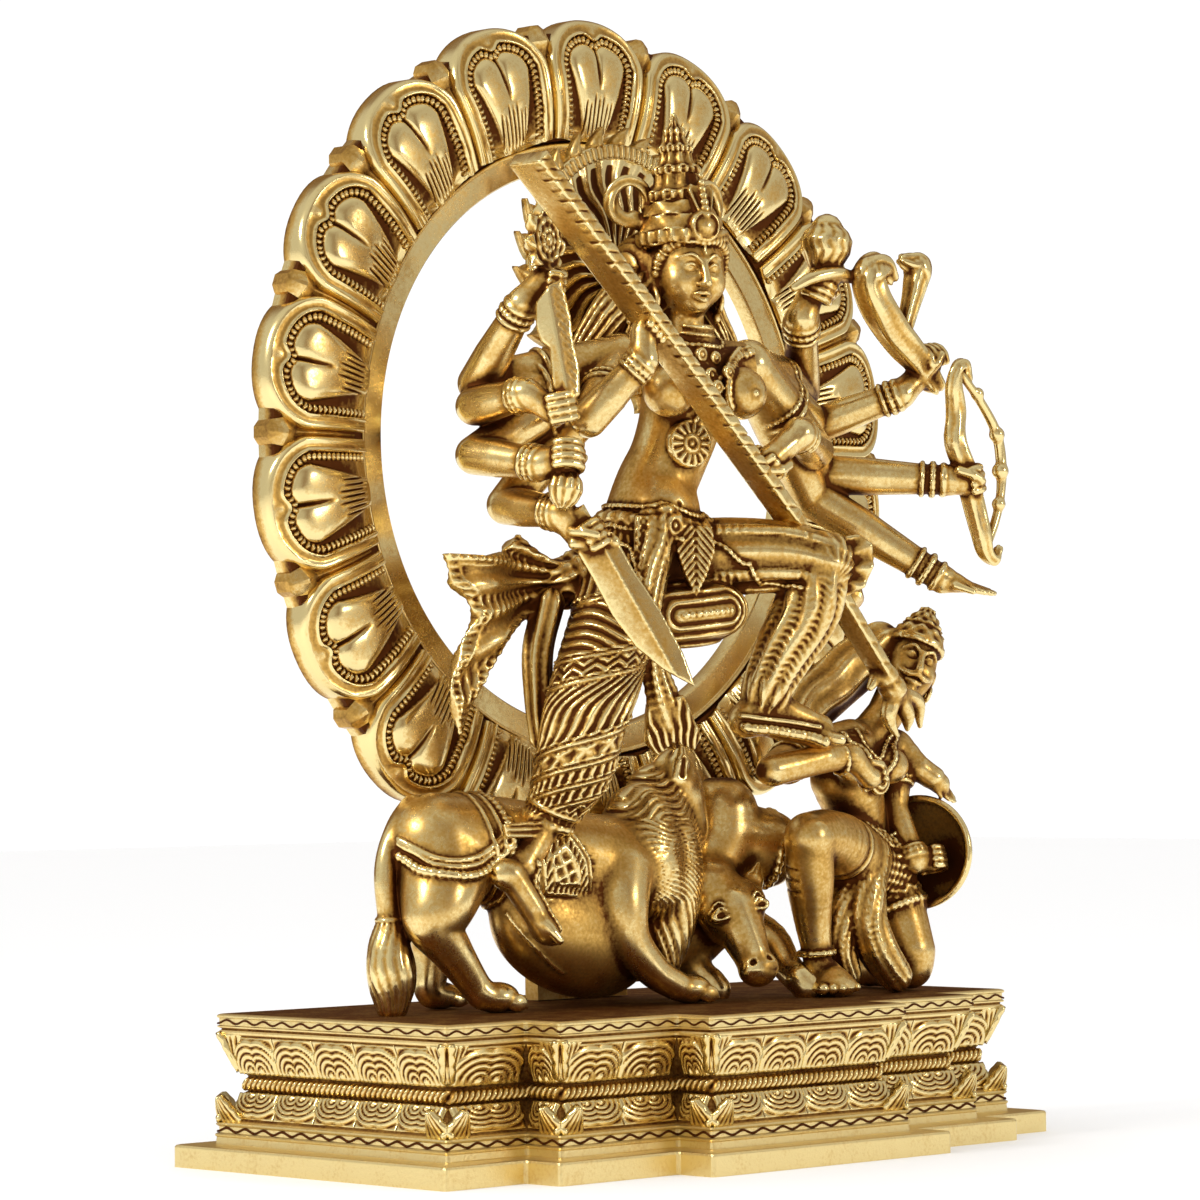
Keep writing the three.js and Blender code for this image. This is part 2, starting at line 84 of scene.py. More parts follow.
class BrassLooks(bpy.types.PropertyGroup):
    """Colours of the brass, of the room that it mirrors and of the floor."""
    polished: colour("Polished brass", "Colour of the worn and polished high places", "#F2DB9B")
    toned: colour("Toned brass", "Colour of brass that has darkened a little", "#CFA353")
    patina: colour("Patina", "Colour of the dark finish left in the carving", "#5C3214")
    room: colour("Room", "Colour of the dim room that the brass mirrors between the screens", "#9A7647")
    paper: colour("Floor", "Colour of the pale studio floor", "#FEFEFE")


class RingSizes(bpy.types.PropertyGroup):
    """Sizes of the halo ring."""
    inner: length("Inner radius", "Radius of the ring's open middle", 90)
    band: length("Band width", "Width of the flat inner band", 9)
    petal: length("Petal length", "Length of a petal from the lip outwards", 41)
    front: length("Front", "Depth of the band's front face behind the origin", 3.8)
    thick: length("Thickness", "Thickness of the ring", 6)
    count: bpy.props.IntProperty(name="Petals", description="Number of petals", default=18, min=6)


class PlinthSizes(bpy.types.PropertyGroup):
    """Sizes of the plinth's slab and ornament."""
    slab: length("Slab height", "Height of the plain slab", 7)
    margin: length("Slab margin", "How far the slab stands out", 9.5)
    pitch: length("Petal pitch", "Width of one petal of the mouldings", 20)
    relief: length("Petal relief", "How far a petal stands proud", 2.6)
    wave: length("Wave length", "Length of one wave of the edge bands", 8.5)
    rib: length("Rib pitch", "Pitch of the ribs on the rolled moulding", 2.3)


class FigureSizes(bpy.types.PropertyGroup):
    """Grid steps that the figures are modelled on."""
    head_grain: length("Head detail", "Grid step that the head is modelled on", 0.36)
    body_grain: length("Body detail", "Grid step that the goddess's body is modelled on", 0.52)
    arm_grain: length("Arm detail", "Grid step that the arms are modelled on", 0.58)
    beast_grain: length("Beast detail", "Grid step that the lion and buffalo are modelled on", 0.62)


PROPERTY_GROUPS = {"brass_looks": BrassLooks, "brass_ring": RingSizes,
                   "brass_plinth": PlinthSizes, "brass_figure": FigureSizes}


def settings(name):
    """The sizes or colours of one group, as the user left them."""
    return getattr(bpy.context.scene, name)


# Modelling grid: signed distances in millimetres, negative inside

def soft_min(a, b, blend):
    """The lesser of two distances, rounded where they come within blend of each other."""
    if blend <= 0:
        return np.minimum(a, b)
    h = np.maximum(blend - np.abs(a - b), 0) / blend
    return np.minimum(a, b) - h * h * (blend * 0.25)


def unit(v):
    """The direction of a vector, with length one."""
    v = np.asarray(v, float)
    return v / np.linalg.norm(v)


def dot(d, way):
    """How far the offsets d, in x, y and z, reach in a direction."""
    return d[0] * way[0] + d[1] * way[1] + d[2] * way[2]


def axes_of(forward, upward=UP):
    """Rows of a right-handed set: to the figure's left, forward, and up."""
    f = unit(forward)
    s = unit(np.cross(upward, f))
    return np.array([s, f, np.cross(f, s)])


def curve(points, steps=6):
    """Stations along a smooth curve through the given ones, whatever they hold."""
    p = np.array(points, float)
    p = np.vstack([2 * p[0] - p[1], p, 2 * p[-1] - p[-2]])
    out = []
    for i in range(1, len(p) - 2):
        for t in np.arange(steps) / steps:
            a, b, c, d = p[i - 1:i + 3]
            out.append(0.5 * (2 * b + (c - a) * t + (2 * a - 5 * b + 4 * c - d) * t ** 2
                              + (3 * b - a - 3 * c + d) * t ** 3))
    return np.array(out + [p[-2]])


def clamp(x):
    """A value kept between 0 and 1."""
    return np.clip(x, 0, 1)


def cycle(x, pitch):
    """A cosine that comes round once in every pitch of a length."""
    return np.cos(2 * np.pi * x / pitch)


def crest(x, width):
    """A rounded crest of height one at zero, about so wide to each side."""
    return np.exp(-(x / width) ** 2)


def hoop(centre, across, along, radii, steps=28, radius=1.0, start=0.0, turn=2 * math.pi):
    """Stations round an ellipse spanned by two directions, each of the given radius."""
    a = start + np.linspace(0, turn, steps)
    u, v = unit(across), unit(along)
    ring = np.array(centre, float) + np.outer(radii[0] * np.cos(a), u) + np.outer(radii[1] * np.sin(a), v)
    return np.column_stack([ring, np.full(steps, radius)])


def spotter(centre, axes):
    """A function that gives the place so far aside, forward and up of a centre, with its
    radius where one is named."""
    def spot(side, forward, up, radius=None):
        place = centre + side * axes[0] + forward * axes[1] + up * axes[2]
        return place if radius is None else [*place, radius]
    return spot


def beads(depth, pitch, wave=np.sin):
    """Relief of a string of beads, or none without a pitch; np.cos starts it inside a bead."""
    return pitch and (lambda s, turn, *place: depth * (np.abs(wave(np.pi * s / pitch)) - 1))


def flutes(depth, count, sway=0.0, drift=0.0):
    """Relief of flutes that run lengthwise, and may sway as they go."""
    return lambda s, turn, *place: depth * np.cos(turn * count + sway * np.sin(s * drift))


def ripples(depth, pitch):
    """Relief of rings round a limb, one behind the other."""
    return lambda s, turn, *place: depth * cycle(s, pitch)


# Turns round limbs and turned forms are counted from near these directions
LIMB_SEAM = (0.3, 0.5, 0.81)
LATHE_SEAM = (0.31, 0.95, 0.02)


class Form:
    """A block of space in which forms are joined and cut before its skin is taken."""

    def __init__(self, low, high, grain):
        self.low, self.grain = np.array(low, float), grain
        self.size = np.ceil((np.array(high, float) - self.low) / grain).astype(int) + 1
        self.field = np.full(self.size, 6.0, np.float32)

    def window(self, low, high):
        """The part of the grid between two corners: its first and last places, x, y and z."""
        a = np.clip(np.floor((np.asarray(low) - self.low) / self.grain).astype(int), 0, self.size - 2)
        b = np.clip(np.ceil((np.asarray(high) - self.low) / self.grain).astype(int) + 1, a + 2, self.size)
        x, y, z = [(self.low[i] + self.grain * np.arange(a[i], b[i])).astype(np.float32) for i in range(3)]
        return a, b, x[:, None, None], y[None, :, None], z[None, None, :]

    def merge(self, a, b, distance, blend, cut=False):
        """Joins a distance to the grid between places a and b, or cuts it out."""
        place = tuple(slice(i, j) for i, j in zip(a, b))
        here = self.field[place]
        self.field[place] = -soft_min(-here, distance, blend) if cut else soft_min(here, distance, blend)

    def limb(self, stations, blend=1.5, relief=None, cut=False, squash=None):
        """A round limb through stations [x, y, z, radius]. relief gives how far the skin
        stands out at (length along, turn round it, x, y, z); squash is a direction and a factor."""
        p = np.array(stations, float)
        reach = p[:, 3].max() + blend + 1.5
        a, b = self.window(p[:, :3].min(0) - reach, p[:, :3].max(0) + reach)[:2]
        best = np.full(b - a, 9.0, np.float32)
        run = 0.0
        for start, end in zip(p, p[1:]):
            step = end[:3] - start[:3]
            span = float(np.linalg.norm(step))
            if span < 1e-6:
                continue
            near = max(start[3], end[3]) + blend + 1.5
            first, last, x, y, z = self.window(np.minimum(start[:3], end[:3]) - near,
                                               np.maximum(start[:3], end[:3]) + near)
            way = step / span
            d = [x - start[0], y - start[1], z - start[2]]
            t = clamp(dot(d, way) / span)
            d = [v - t * k for v, k in zip(d, step)]
            square = dot(d, d)
            if squash is not None:
                off = dot(d, unit(squash[0]))
                square = square + (squash[1] ** 2 - 1) * off * off
            distance = np.sqrt(np.maximum(square, 0)) - (start[3] + (end[3] - start[3]) * t)
            if relief is not None:
                e = unit(np.array(LIMB_SEAM) - np.dot(LIMB_SEAM, way) * way)
                turn = np.arctan2(dot(d, np.cross(way, e)), dot(d, e))
                distance = distance - relief(run + t * span, turn, x, y, z)
            inner = tuple(slice(i, j) for i, j in zip(first - a, last - a))
            best[inner] = np.minimum(best[inner], distance)
            run += span
        self.merge(a, b, best, blend, cut)

    def ball(self, centre, radii, blend=1.5, axes=None, relief=None, cut=False):
        """An ellipsoid; axes are the rows of its own directions."""
        radii = np.array([radii] * 3 if np.isscalar(radii) else radii, float)
        reach = radii.max() + blend + 1.5
        a, b, x, y, z = self.window(np.array(centre) - reach, np.array(centre) + reach)
        d = [x - centre[0], y - centre[1], z - centre[2]]
        if axes is not None:
            d = [dot(d, r) for r in np.asarray(axes)]
        k = np.sqrt(sum((v / r) ** 2 for v, r in zip(d, radii)))
        g = np.sqrt(sum((v / r ** 2) ** 2 for v, r in zip(d, radii)))
        distance = k * (k - 1) / np.maximum(g, 1e-6)
        if relief is not None:
            distance = distance - relief(x, y, z)
        self.merge(a, b, distance.astype(np.float32), blend, cut)

    def turned(self, foot, profile, blend=0.5, axis=UP, relief=None):
        """A turned form: profile points [radius, height] from foot along axis, closed on the
        axis. relief gives how far it stands out at (height, turn round it, radius)."""
        p = np.array(profile, float)
        way = unit(axis)
        reach = p[:, 0].max() + 2
        ends = np.array([np.array(foot) + way * p[:, 1].min(), np.array(foot) + way * p[:, 1].max()])
        a, b, x, y, z = self.window(ends.min(0) - reach, ends.max(0) + reach)
        d = [x - foot[0], y - foot[1], z - foot[2]]
        h = dot(d, way)
        r = np.sqrt(np.maximum(dot(d, d) - h * h, 0))
        distance = outline_distance(r, h, np.vstack([p, [[0, p[-1, 1]], [0, p[0, 1]]]]))
        if relief is not None:
            e = unit(np.cross(way, LATHE_SEAM))
            turn = np.arctan2(dot(d, np.cross(way, e)), dot(d, e))
            distance = distance - relief(h, turn, r)
        self.merge(a, b, distance.astype(np.float32), blend)

    def leaf(self, outline, thick, origin, across, upward, blend=0.4, relief=None, bend=None, soft=0.8):
        """A flat form of an outline [across, up] from an origin, bent out of its plane by
        bend(across, up) and carved by relief(across, up)."""
        v = unit(upward)
        u = unit(np.asarray(across, float) - np.dot(across, v) * v)
        p = np.array(outline, float)
        corners = np.array(origin) + np.outer(p[:, 0], u) + np.outer(p[:, 1], v)
        reach = thick + blend + 3 + (0 if bend is None else 5)
        a, b, x, y, z = self.window(corners.min(0) - reach, corners.max(0) + reach)
        d = [x - origin[0], y - origin[1], z - origin[2]]
        s, t, w = (dot(d, way) for way in (u, v, np.cross(u, v)))
        if bend is not None:
            w = w - bend(s, t)
        flat = np.abs(w) - thick / 2
        if relief is not None:
            flat = flat - relief(s, t)
        distance = -soft_min(-outline_distance(s, t, p), -flat, soft)
        self.merge(a, b, distance.astype(np.float32), blend)

    def sample(self, points):
        """The distance at points, read between grid places."""
        q = np.clip((points - self.low) / self.grain, 0, self.size - 1.001)
        i = q.astype(int)
        f = q - i
        total = 0
        for corner in np.ndindex(2, 2, 2):
            c = np.array(corner)
            weight = np.prod(np.where(c, f, 1 - f), axis=1)
            total = total + weight * self.field[tuple((i + c).T)]
        return total

    def slope(self, points):
        """How much the distance grows in x, y and z over two grid steps at points."""
        return np.column_stack([self.sample(points + self.grain * d) - self.sample(points - self.grain * d)
                                for d in np.eye(3)])

    def outward(self, points):
        """The directions in which points leave the skin."""
        slope = self.slope(points)
        return slope / np.maximum(np.linalg.norm(slope, axis=1, keepdims=True), 1e-6)

    def settle(self, stations, lift=0.0):
        """Stations moved onto the skin, lifted a little off it."""
        p = np.array(stations, float)
        for _ in range(5):
            p[:, :3] -= self.outward(p[:, :3]) * (self.sample(p[:, :3]) - lift)[:, None]
        return p

    def cord(self, points, radius, lift=0.2, pitch=None):
        """A cord, or with a pitch a string of beads, laid on the skin along a smooth curve."""
        path = self.settle(curve([[*p[:3], radius] for p in points], 8), lift)
        self.limb(path, 0.2, beads(0.4, pitch))

    def crevices(self, points, reaches=(1.6, 3.2, 5.4)):
        """How much other parts of the form close in above each point of the skin, from 0 to 1."""
        out = self.outward(points)
        closed = [clamp(1 - self.sample(points + out * reach) / reach) for reach in reaches]
        return np.mean(closed, axis=0)

    def skin(self):
        """The surface as points and four-sided faces that look outwards."""
        f = np.pad(self.field, 1, constant_values=6.0)
        inside = f < 0
        cells = tuple(n - 1 for n in f.shape)
        count = np.zeros(cells, np.uint8)
        for c in np.ndindex(2, 2, 2):
            count += inside[tuple(slice(k, k + n) for k, n in zip(c, cells))]
        i, j, k = np.nonzero((count > 0) & (count < 8))
        number = np.full(cells, -1, np.int32)
        number[i, j, k] = np.arange(len(i))
        corner = {c: f[i + c[0], j + c[1], k + c[2]] for c in np.ndindex(2, 2, 2)}
        total = np.zeros((len(i), 3))
        hits = np.zeros(len(i))
        for axis in range(3):
            for c in np.ndindex(2, 2, 2):
                if c[axis]:
                    continue
                d = tuple(v + (n == axis) for n, v in enumerate(c))
                a, b = corner[c], corner[d]
                crossed = (a < 0) != (b < 0)
                t = np.where(crossed, a / np.where(crossed, a - b, 1), 0)
                for n in range(3):
                    total[:, n] += crossed * (c[n] + (t if n == axis else 0))
                hits += crossed
        points = total / hits[:, None] + np.column_stack([i, j, k]) - 1
        points = self.low + points * self.grain
        for _ in range(2):
            slope = self.slope(points) / (2 * self.grain)
            steep = np.maximum(np.sum(slope ** 2, axis=1), 0.2)
            move = np.clip(self.sample(points) / steep, -0.5 * self.grain, 0.5 * self.grain)
            points = points - 0.8 * move[:, None] * slope
        faces = []
        for axis in range(3):
            one, two = (axis + 1) % 3, (axis + 2) % 3
            lead = [slice(None)] * 3
            lead[axis] = slice(0, -1)
            follow = [slice(None)] * 3
            follow[axis] = slice(1, None)
            change = inside[tuple(lead)].astype(np.int8) - inside[tuple(follow)].astype(np.int8)
            spot = np.array(np.nonzero(change))
            sign = change[tuple(spot)]
            around = []
            for back_one, back_two in ((1, 1), (0, 1), (0, 0), (1, 0)):
                q = spot.copy()
                q[one] -= back_one
                q[two] -= back_two
                around.append(number[tuple(q)])
            quad = np.column_stack(around)
            quad[sign < 0] = quad[sign < 0][:, ::-1]
            faces.append(quad)
        return points, np.vstack(faces)


def outline_distance(x, y, outline):
    """Signed distance to a closed outline of straight stretches, negative inside."""
    shape = np.broadcast(x, y).shape
    nearest = np.full(shape, 1e9, np.float32)
    inside = np.zeros(shape, bool)
    for (ax, ay), (bx, by) in zip(outline, np.roll(outline, -1, axis=0)):
        ex, ey = bx - ax, by - ay
        if ex * ex + ey * ey < 1e-9:
            continue
        t = clamp(((x - ax) * ex + (y - ay) * ey) / (ex * ex + ey * ey))
        nearest = np.minimum(nearest, (x - ax - t * ex) ** 2 + (y - ay - t * ey) ** 2)
        if ey:
            inside ^= ((y < ay) != (y < by)) & (x < ax + (y - ay) * ex / ey)
    return np.sqrt(nearest) * np.where(inside, -1, 1)


# Meshes

def mesh_object(name, points, faces, recess=None, smooth=True, rounds=(3, 14)):
    """An object at the origin from points in millimetres, with how recessed each point lies."""
    mesh = bpy.data.meshes.new(name)
    points = np.asarray(points, np.float32)
    if isinstance(faces, np.ndarray):
        mesh.vertices.add(len(points))
        mesh.vertices.foreach_set("co", (points * MM).ravel())
        mesh.loops.add(faces.size)
        mesh.loops.foreach_set("vertex_index", faces.ravel().astype(np.int32))
        mesh.polygons.add(len(faces))
        mesh.polygons.foreach_set("loop_start", np.arange(0, faces.size, faces.shape[1], dtype=np.int32))
        mesh.update(calc_edges=True)
    else:
        mesh.from_pydata([tuple(p) for p in points * MM], [], faces)
    mesh.polygons.foreach_set("use_smooth", [smooth] * len(mesh.polygons))
    if recess is None:
        recess = hollowness(mesh, rounds)
    layer = mesh.attributes.new("recess", "FLOAT", "POINT")
    layer.data.foreach_set("value", np.asarray(recess, np.float32))
    piece = bpy.data.objects.new(name, mesh)
    bpy.context.scene.collection.objects.link(piece)
    return piece


def values_of(items, key, width=1, kind=np.float32):
    """One property of all the items in a mesh's collection, one item a row."""
    values = np.empty(len(items) * width, kind)
    items.foreach_get(key, values)
    return values.reshape(-1, width)


def points_of(mesh):
    """The points of a mesh in millimetres, one a row."""
    return values_of(mesh.vertices, "co", 3) / MM


def recess_of(mesh):
    """How recessed each point of a mesh is said to lie."""
    return values_of(mesh.attributes["recess"].data, "value")[:, 0]


def set_recess(mesh, recess):
    """Says anew how recessed each point of a mesh lies."""
    mesh.attributes["recess"].data.foreach_set("value", recess.astype(np.float32))


def hollowness(mesh, rounds, weights=(2.6, 1.1)):
    """How far each point lies below the skin smoothed by so many rounds, near and far, each
    with its weight."""
    count = len(mesh.vertices)
    points = points_of(mesh)
    normals = values_of(mesh.vertex_normals, "vector", 3)
    a, b = values_of(mesh.edges, "vertices", 2, np.int32).T
    share = np.maximum(np.bincount(a, minlength=count) + np.bincount(b, minlength=count), 1)
    smoothed = points.astype(float)
    total = np.zeros(count)
    for i in range(max(rounds)):
        for n in range(3):
            column = smoothed[:, n]
            mean = np.bincount(a, column[b], count) + np.bincount(b, column[a], count)
            smoothed[:, n] = 0.4 * column + 0.6 * mean / share
        if i + 1 in rounds:
            total += weights[rounds.index(i + 1)] * ((smoothed - points) * normals).sum(1)
    return total


def thinned(piece, triangles):
    """The piece with about so many triangles, fewer where it is smooth."""
    modifier = piece.modifiers.new("Thinning", "DECIMATE")
    modifier.ratio = min(1.0, triangles / sum(len(p.vertices) - 2 for p in piece.data.polygons))
    bpy.context.view_layer.update()
    evaluated = piece.evaluated_get(bpy.context.evaluated_depsgraph_get())
    mesh = bpy.data.meshes.new_from_object(evaluated)
    piece.modifiers.clear()
    piece.data = mesh
    return piece


def creased(piece, degrees=50):
    """The piece with its edges sharper than an angle kept crisp."""
    piece.data.set_sharp_from_angle(angle=math.radians(degrees))
    return piece


def form_object(name, form, triangles):
    """The skin of a form whose heights are counted from the deck."""
    points, faces = form.skin()
    piece = mesh_object(name, points + (0, 0, DECK), faces)
    set_recess(piece.data, recess_of(piece.data) + 1.15 * form.crevices(points))
    return thinned(piece, triangles)


def grid_faces(rows, columns, closed=False):
    """Faces over points laid out in rows; closed joins each row's end to its start."""
    across = columns if closed else columns - 1
    r, c = np.meshgrid(np.arange(rows - 1), np.arange(across), indexing="ij")
    d = (c + 1) % columns
    return np.stack([r * columns + c, r * columns + d, (r + 1) * columns + d, (r + 1) * columns + c],
                    axis=-1).reshape(-1, 4)


def loft_object(name, rings, recess=None, flip=False):
    """A closed skin over rings of equal length, its two ends filled in."""
    rings = np.asarray(rings, float)
    rows, columns = rings.shape[:2]
    faces = [tuple(int(v) for v in f) for f in grid_faces(rows, columns, closed=True)]
    faces += [tuple(range(columns))[::-1], tuple(range((rows - 1) * columns, rows * columns))]
    if flip:
        faces = [f[::-1] for f in faces]
    return mesh_object(name, rings.reshape(-1, 3), faces, recess)


def turned_ring(middle, radius, y, steps):
    """Points round a circle that faces the front, its radius and depth alike or one for each."""
    turn = -np.arange(steps) * 2 * np.pi / steps
    return np.column_stack([middle[0] + radius * np.sin(turn), np.broadcast_to(y, steps),
                            middle[2] + radius * np.cos(turn)])


def ring_object(name, section, middle, steps, recess=None, flip=False):
    """A closed ring: a section of points [radius, y] turned about its middle."""
    points = np.vstack([turned_ring(middle, radius, y, steps) for radius, y in section])
    last = (len(section) - 1) * steps
    c = np.arange(steps)
    d = (c + 1) % steps
    faces = np.vstack([grid_faces(len(section), steps, closed=True), np.column_stack([last + c, last + d, d, c])])
    return mesh_object(name, points, faces[:, ::-1] if flip else faces, recess)


def finish(piece, node, kind):
    """Dresses a piece in a kind of brass, hangs it under the root body and hides the CAD node that it stands for."""
    piece.data.materials.clear()
    piece.data.materials.append(brass(kind))
    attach(piece, "root")
    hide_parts(node)
    return piece


# Nodes

def add_node(tree, kind, inputs=None, **values):
    """A node with its settings, and its inputs set or linked by name or place."""
    node = tree.nodes.new(kind)
    for key, value in values.items():
        setattr(node, key, value)
    for key, value in (inputs or {}).items():
        if isinstance(value, bpy.types.NodeSocket):
            tree.links.new(value, node.inputs[key])
        else:
            node.inputs[key].default_value = value
    return node


def scatter_tree():
    """Geometry Nodes that set a copy of an object on every point, turned and sized by the
    point's own turn and grow attributes."""
    tree = bpy.data.node_groups.get("Set copies on points")
    if tree:
        return tree
    tree = bpy.data.node_groups.new("Set copies on points", "GeometryNodeTree")
    for name, side, kind in (("Geometry", "INPUT", "Geometry"), ("Copy", "INPUT", "Object"),
                             ("Size", "INPUT", "Float"), ("Material", "INPUT", "Material"),
                             ("Geometry", "OUTPUT", "Geometry")):
        tree.interface.new_socket(name, in_out=side, socket_type="NodeSocket" + kind)
    given = add_node(tree, "NodeGroupInput")
    copy = add_node(tree, "GeometryNodeObjectInfo", {"Object": given.outputs["Copy"]})
    turn = add_node(tree, "GeometryNodeInputNamedAttribute", {"Name": "turn"}, data_type="FLOAT_VECTOR")
    grow = add_node(tree, "GeometryNodeInputNamedAttribute", {"Name": "grow"}, data_type="FLOAT_VECTOR")
    sized = add_node(tree, "ShaderNodeVectorMath",
                     {0: grow.outputs["Attribute"], "Scale": given.outputs["Size"]}, operation="SCALE")
    rotation = add_node(tree, "FunctionNodeEulerToRotation", {0: turn.outputs["Attribute"]})
    placed = add_node(tree, "GeometryNodeInstanceOnPoints",
                      {"Points": given.outputs["Geometry"], "Instance": copy.outputs["Geometry"],
                       "Rotation": rotation.outputs[0], "Scale": sized.outputs[0]})
    real = add_node(tree, "GeometryNodeRealizeInstances", {"Geometry": placed.outputs["Instances"]})
    dressed = add_node(tree, "GeometryNodeSetMaterial",
                       {"Geometry": real.outputs["Geometry"], "Material": given.outputs["Material"]})
    add_node(tree, "NodeGroupOutput", {"Geometry": dressed.outputs["Geometry"]})
    return tree


def scattered(name, source, places, node, kind):
    """A finished piece of copies of a source object at places: rows of a point in millimetres,
    turns about x, y and z, and scales. The source is used up."""
    places = np.asarray(places, float)
    points = bpy.data.meshes.new(name + "_points")
    points.vertices.add(len(places))
    points.vertices.foreach_set("co", (places[:, :3] * MM).ravel())
    for key, columns in (("turn", places[:, 3:6]), ("grow", places[:, 6:9])):
        layer = points.attributes.new(key, "FLOAT_VECTOR", "POINT")
        layer.data.foreach_set("vector", columns.ravel())
    carrier = bpy.data.objects.new(name, points)
    bpy.context.scene.collection.objects.link(carrier)
    tree = scatter_tree()
    modifier = carrier.modifiers.new("Copies", "NODES")
    modifier.node_group = tree
    given = {"Copy": source, "Size": 1.0, "Material": brass(kind)}
    for item in tree.interface.items_tree:
        if item.in_out == "INPUT" and item.name in given:
            modifier[item.identifier] = given[item.name]
    bpy.context.view_layer.update()
    evaluated = carrier.evaluated_get(bpy.context.evaluated_depsgraph_get())
    mesh = bpy.data.meshes.new_from_object(evaluated)
    carrier.modifiers.clear()
    carrier.data = mesh
    bpy.data.objects.remove(source)
    return finish(carrier, node, kind)


# Finish

def noise(tree, coordinate, millimetres, detail=3.0, roughness=0.55):
    """A noise value whose grains are about so many millimetres across."""
    return add_node(tree, "ShaderNodeTexNoise",
                    {"Vector": coordinate, "Scale": 1 / (millimetres * MM), "Detail": detail,
                     "Roughness": roughness}).outputs["Fac"]


def spread(tree, value, low, high, low_to=0.0, high_to=1.0):
    """A value moved from one range to another, and kept inside it."""
    return add_node(tree, "ShaderNodeMapRange", {0: value, 1: low, 2: high, 3: low_to, 4: high_to}).outputs[0]


def combined(tree, operation, a, b):
    """Two values added, or joined by another sum."""
    return add_node(tree, "ShaderNodeMath", {0: a, 1: b}, operation=operation).outputs[0]


def cast_brass(name, patina_from=-0.28, patina_to=0.62, polished=0.17, satin=0.42, pits=0.06, grit=0.8):
    """Cast brass, buffed on its high places and chemically darkened: warm gold with a soft
    mirror sheen where it was polished, brown-black and dull where the wheel can't reach."""
    looks = settings("brass_looks")
    material = bpy.data.materials.new(name)
    material.use_nodes = True
    tree = material.node_tree
    tree.nodes.clear()
    place = add_node(tree, "ShaderNodeTexCoord").outputs["Object"]
    hollow = add_node(tree, "ShaderNodeAttribute", attribute_name="recess").outputs["Fac"]
    # Hand-applied patina pools in blotches some 9 mm wide. The skin of the sand mould has grains
    # of about 0.2 mm, drawn 0.8 to 1.1 mm wide here so that they show.
    blotch = noise(tree, place, 9, 4.0)
    grain = noise(tree, place, 1.1, 3.0)
    broken = combined(tree, "ADD", hollow, spread(tree, grain, 0.3, 0.7, -0.12, 0.12))
    dirty = spread(tree, combined(tree, "ADD", broken, spread(tree, blotch, 0.35, 0.65, -0.06, 0.1)),
                   patina_from, patina_to)
    ramp = add_node(tree, "ShaderNodeValToRGB", {"Fac": dirty})
    ends = [(0.0, looks.polished), (0.42, looks.toned), (1.0, looks.patina)]
    while len(ramp.color_ramp.elements) < len(ends):
        ramp.color_ramp.elements.new(0.5)
    for element, (position, tint) in zip(ramp.color_ramp.elements, ends):
        element.position = position
        element.color = (*tint, 1)
    rough = combined(tree, "ADD", spread(tree, dirty, 0, 1, polished, satin + 0.15),
                     spread(tree, blotch, 0.3, 0.7, -0.02, 0.05))
    pitted = noise(tree, place, grit, 2.0, 0.7)
    bump = add_node(tree, "ShaderNodeBump", {"Strength": pits, "Distance": 0.25 * MM, "Height": pitted})
    shader = add_node(tree, "ShaderNodeBsdfPrincipled",
                      {"Base Color": ramp.outputs["Color"], "Metallic": 1.0, "Roughness": rough,
                       "Normal": bump.outputs["Normal"]})
    add_node(tree, "ShaderNodeOutputMaterial", {"Surface": shader.outputs["BSDF"]})
    return material


POLISHED, CHASED, SATIN = "Polished cast brass", "Antiqued chased brass", "Satin cast brass"


def brass(kind):
    """The finishes by name, each made once."""
    made = bpy.data.materials.get(kind)
    if made:
        return made
    recipes = {
        POLISHED: dict(),
        CHASED: dict(patina_from=-0.36, patina_to=0.48, polished=0.19),
        SATIN: dict(polished=0.36, satin=0.5, pits=0.45, grit=0.9, patina_to=0.9),
    }
    return cast_brass(kind, **recipes[kind])


# Plinth

def plan(inset):
    """Outline of the plinth's plan, counter-clockwise, drawn in by an inset on every side."""
    centre, middle, outer, back, side, step = 44, 93, 125, 43.5, -61.5, 14.5
    fronts = [side - i * step + inset for i in range(3)]
    halves = [outer - inset, middle - inset, centre - inset]
    right = []
    for i, half in enumerate(halves):
        right += [(half, fronts[i - 1] if i else back - inset), (half, fronts[i])]
    return np.array([(-x, y) for x, y in right] + right[::-1], float)


def rounded_plan(inset, radius=1.0):
    """The plan with a small round of three points at every corner."""
    p = plan(inset)
    out = []
    for before, corner, after in zip(np.roll(p, 1, 0), p, np.roll(p, -1, 0)):
        a, b = unit(before - corner), unit(after - corner)
        out += [corner + a * radius, corner + (a + b) * radius * 0.29, corner + b * radius]
    return np.array(out)


def plinth_faces(inset):
    """Stretches of the plan on which ornament is set: start, direction, length, outward side."""
    p = plan(inset)
    for start, end in zip(p, np.roll(p, -1, 0)):
        along = unit(end - start)
        yield start, along, float(np.linalg.norm(end - start)), np.array([along[1], -along[0]])


# Heights between which the two rows of petals stand, and of the ribbed roll between them
UPPER_ROW = (29.0, 40.2)
LOWER_ROW = (14.6, 22.4)
ROLL_HEIGHT = 25.4


def row_inset(height):
    """How far the waist of the plinth is drawn in at a height."""
    return float(np.interp(height, (14.4, 22.8, 28.6, 40.4), (1.6, 6.0, 6.0, 1.4)))


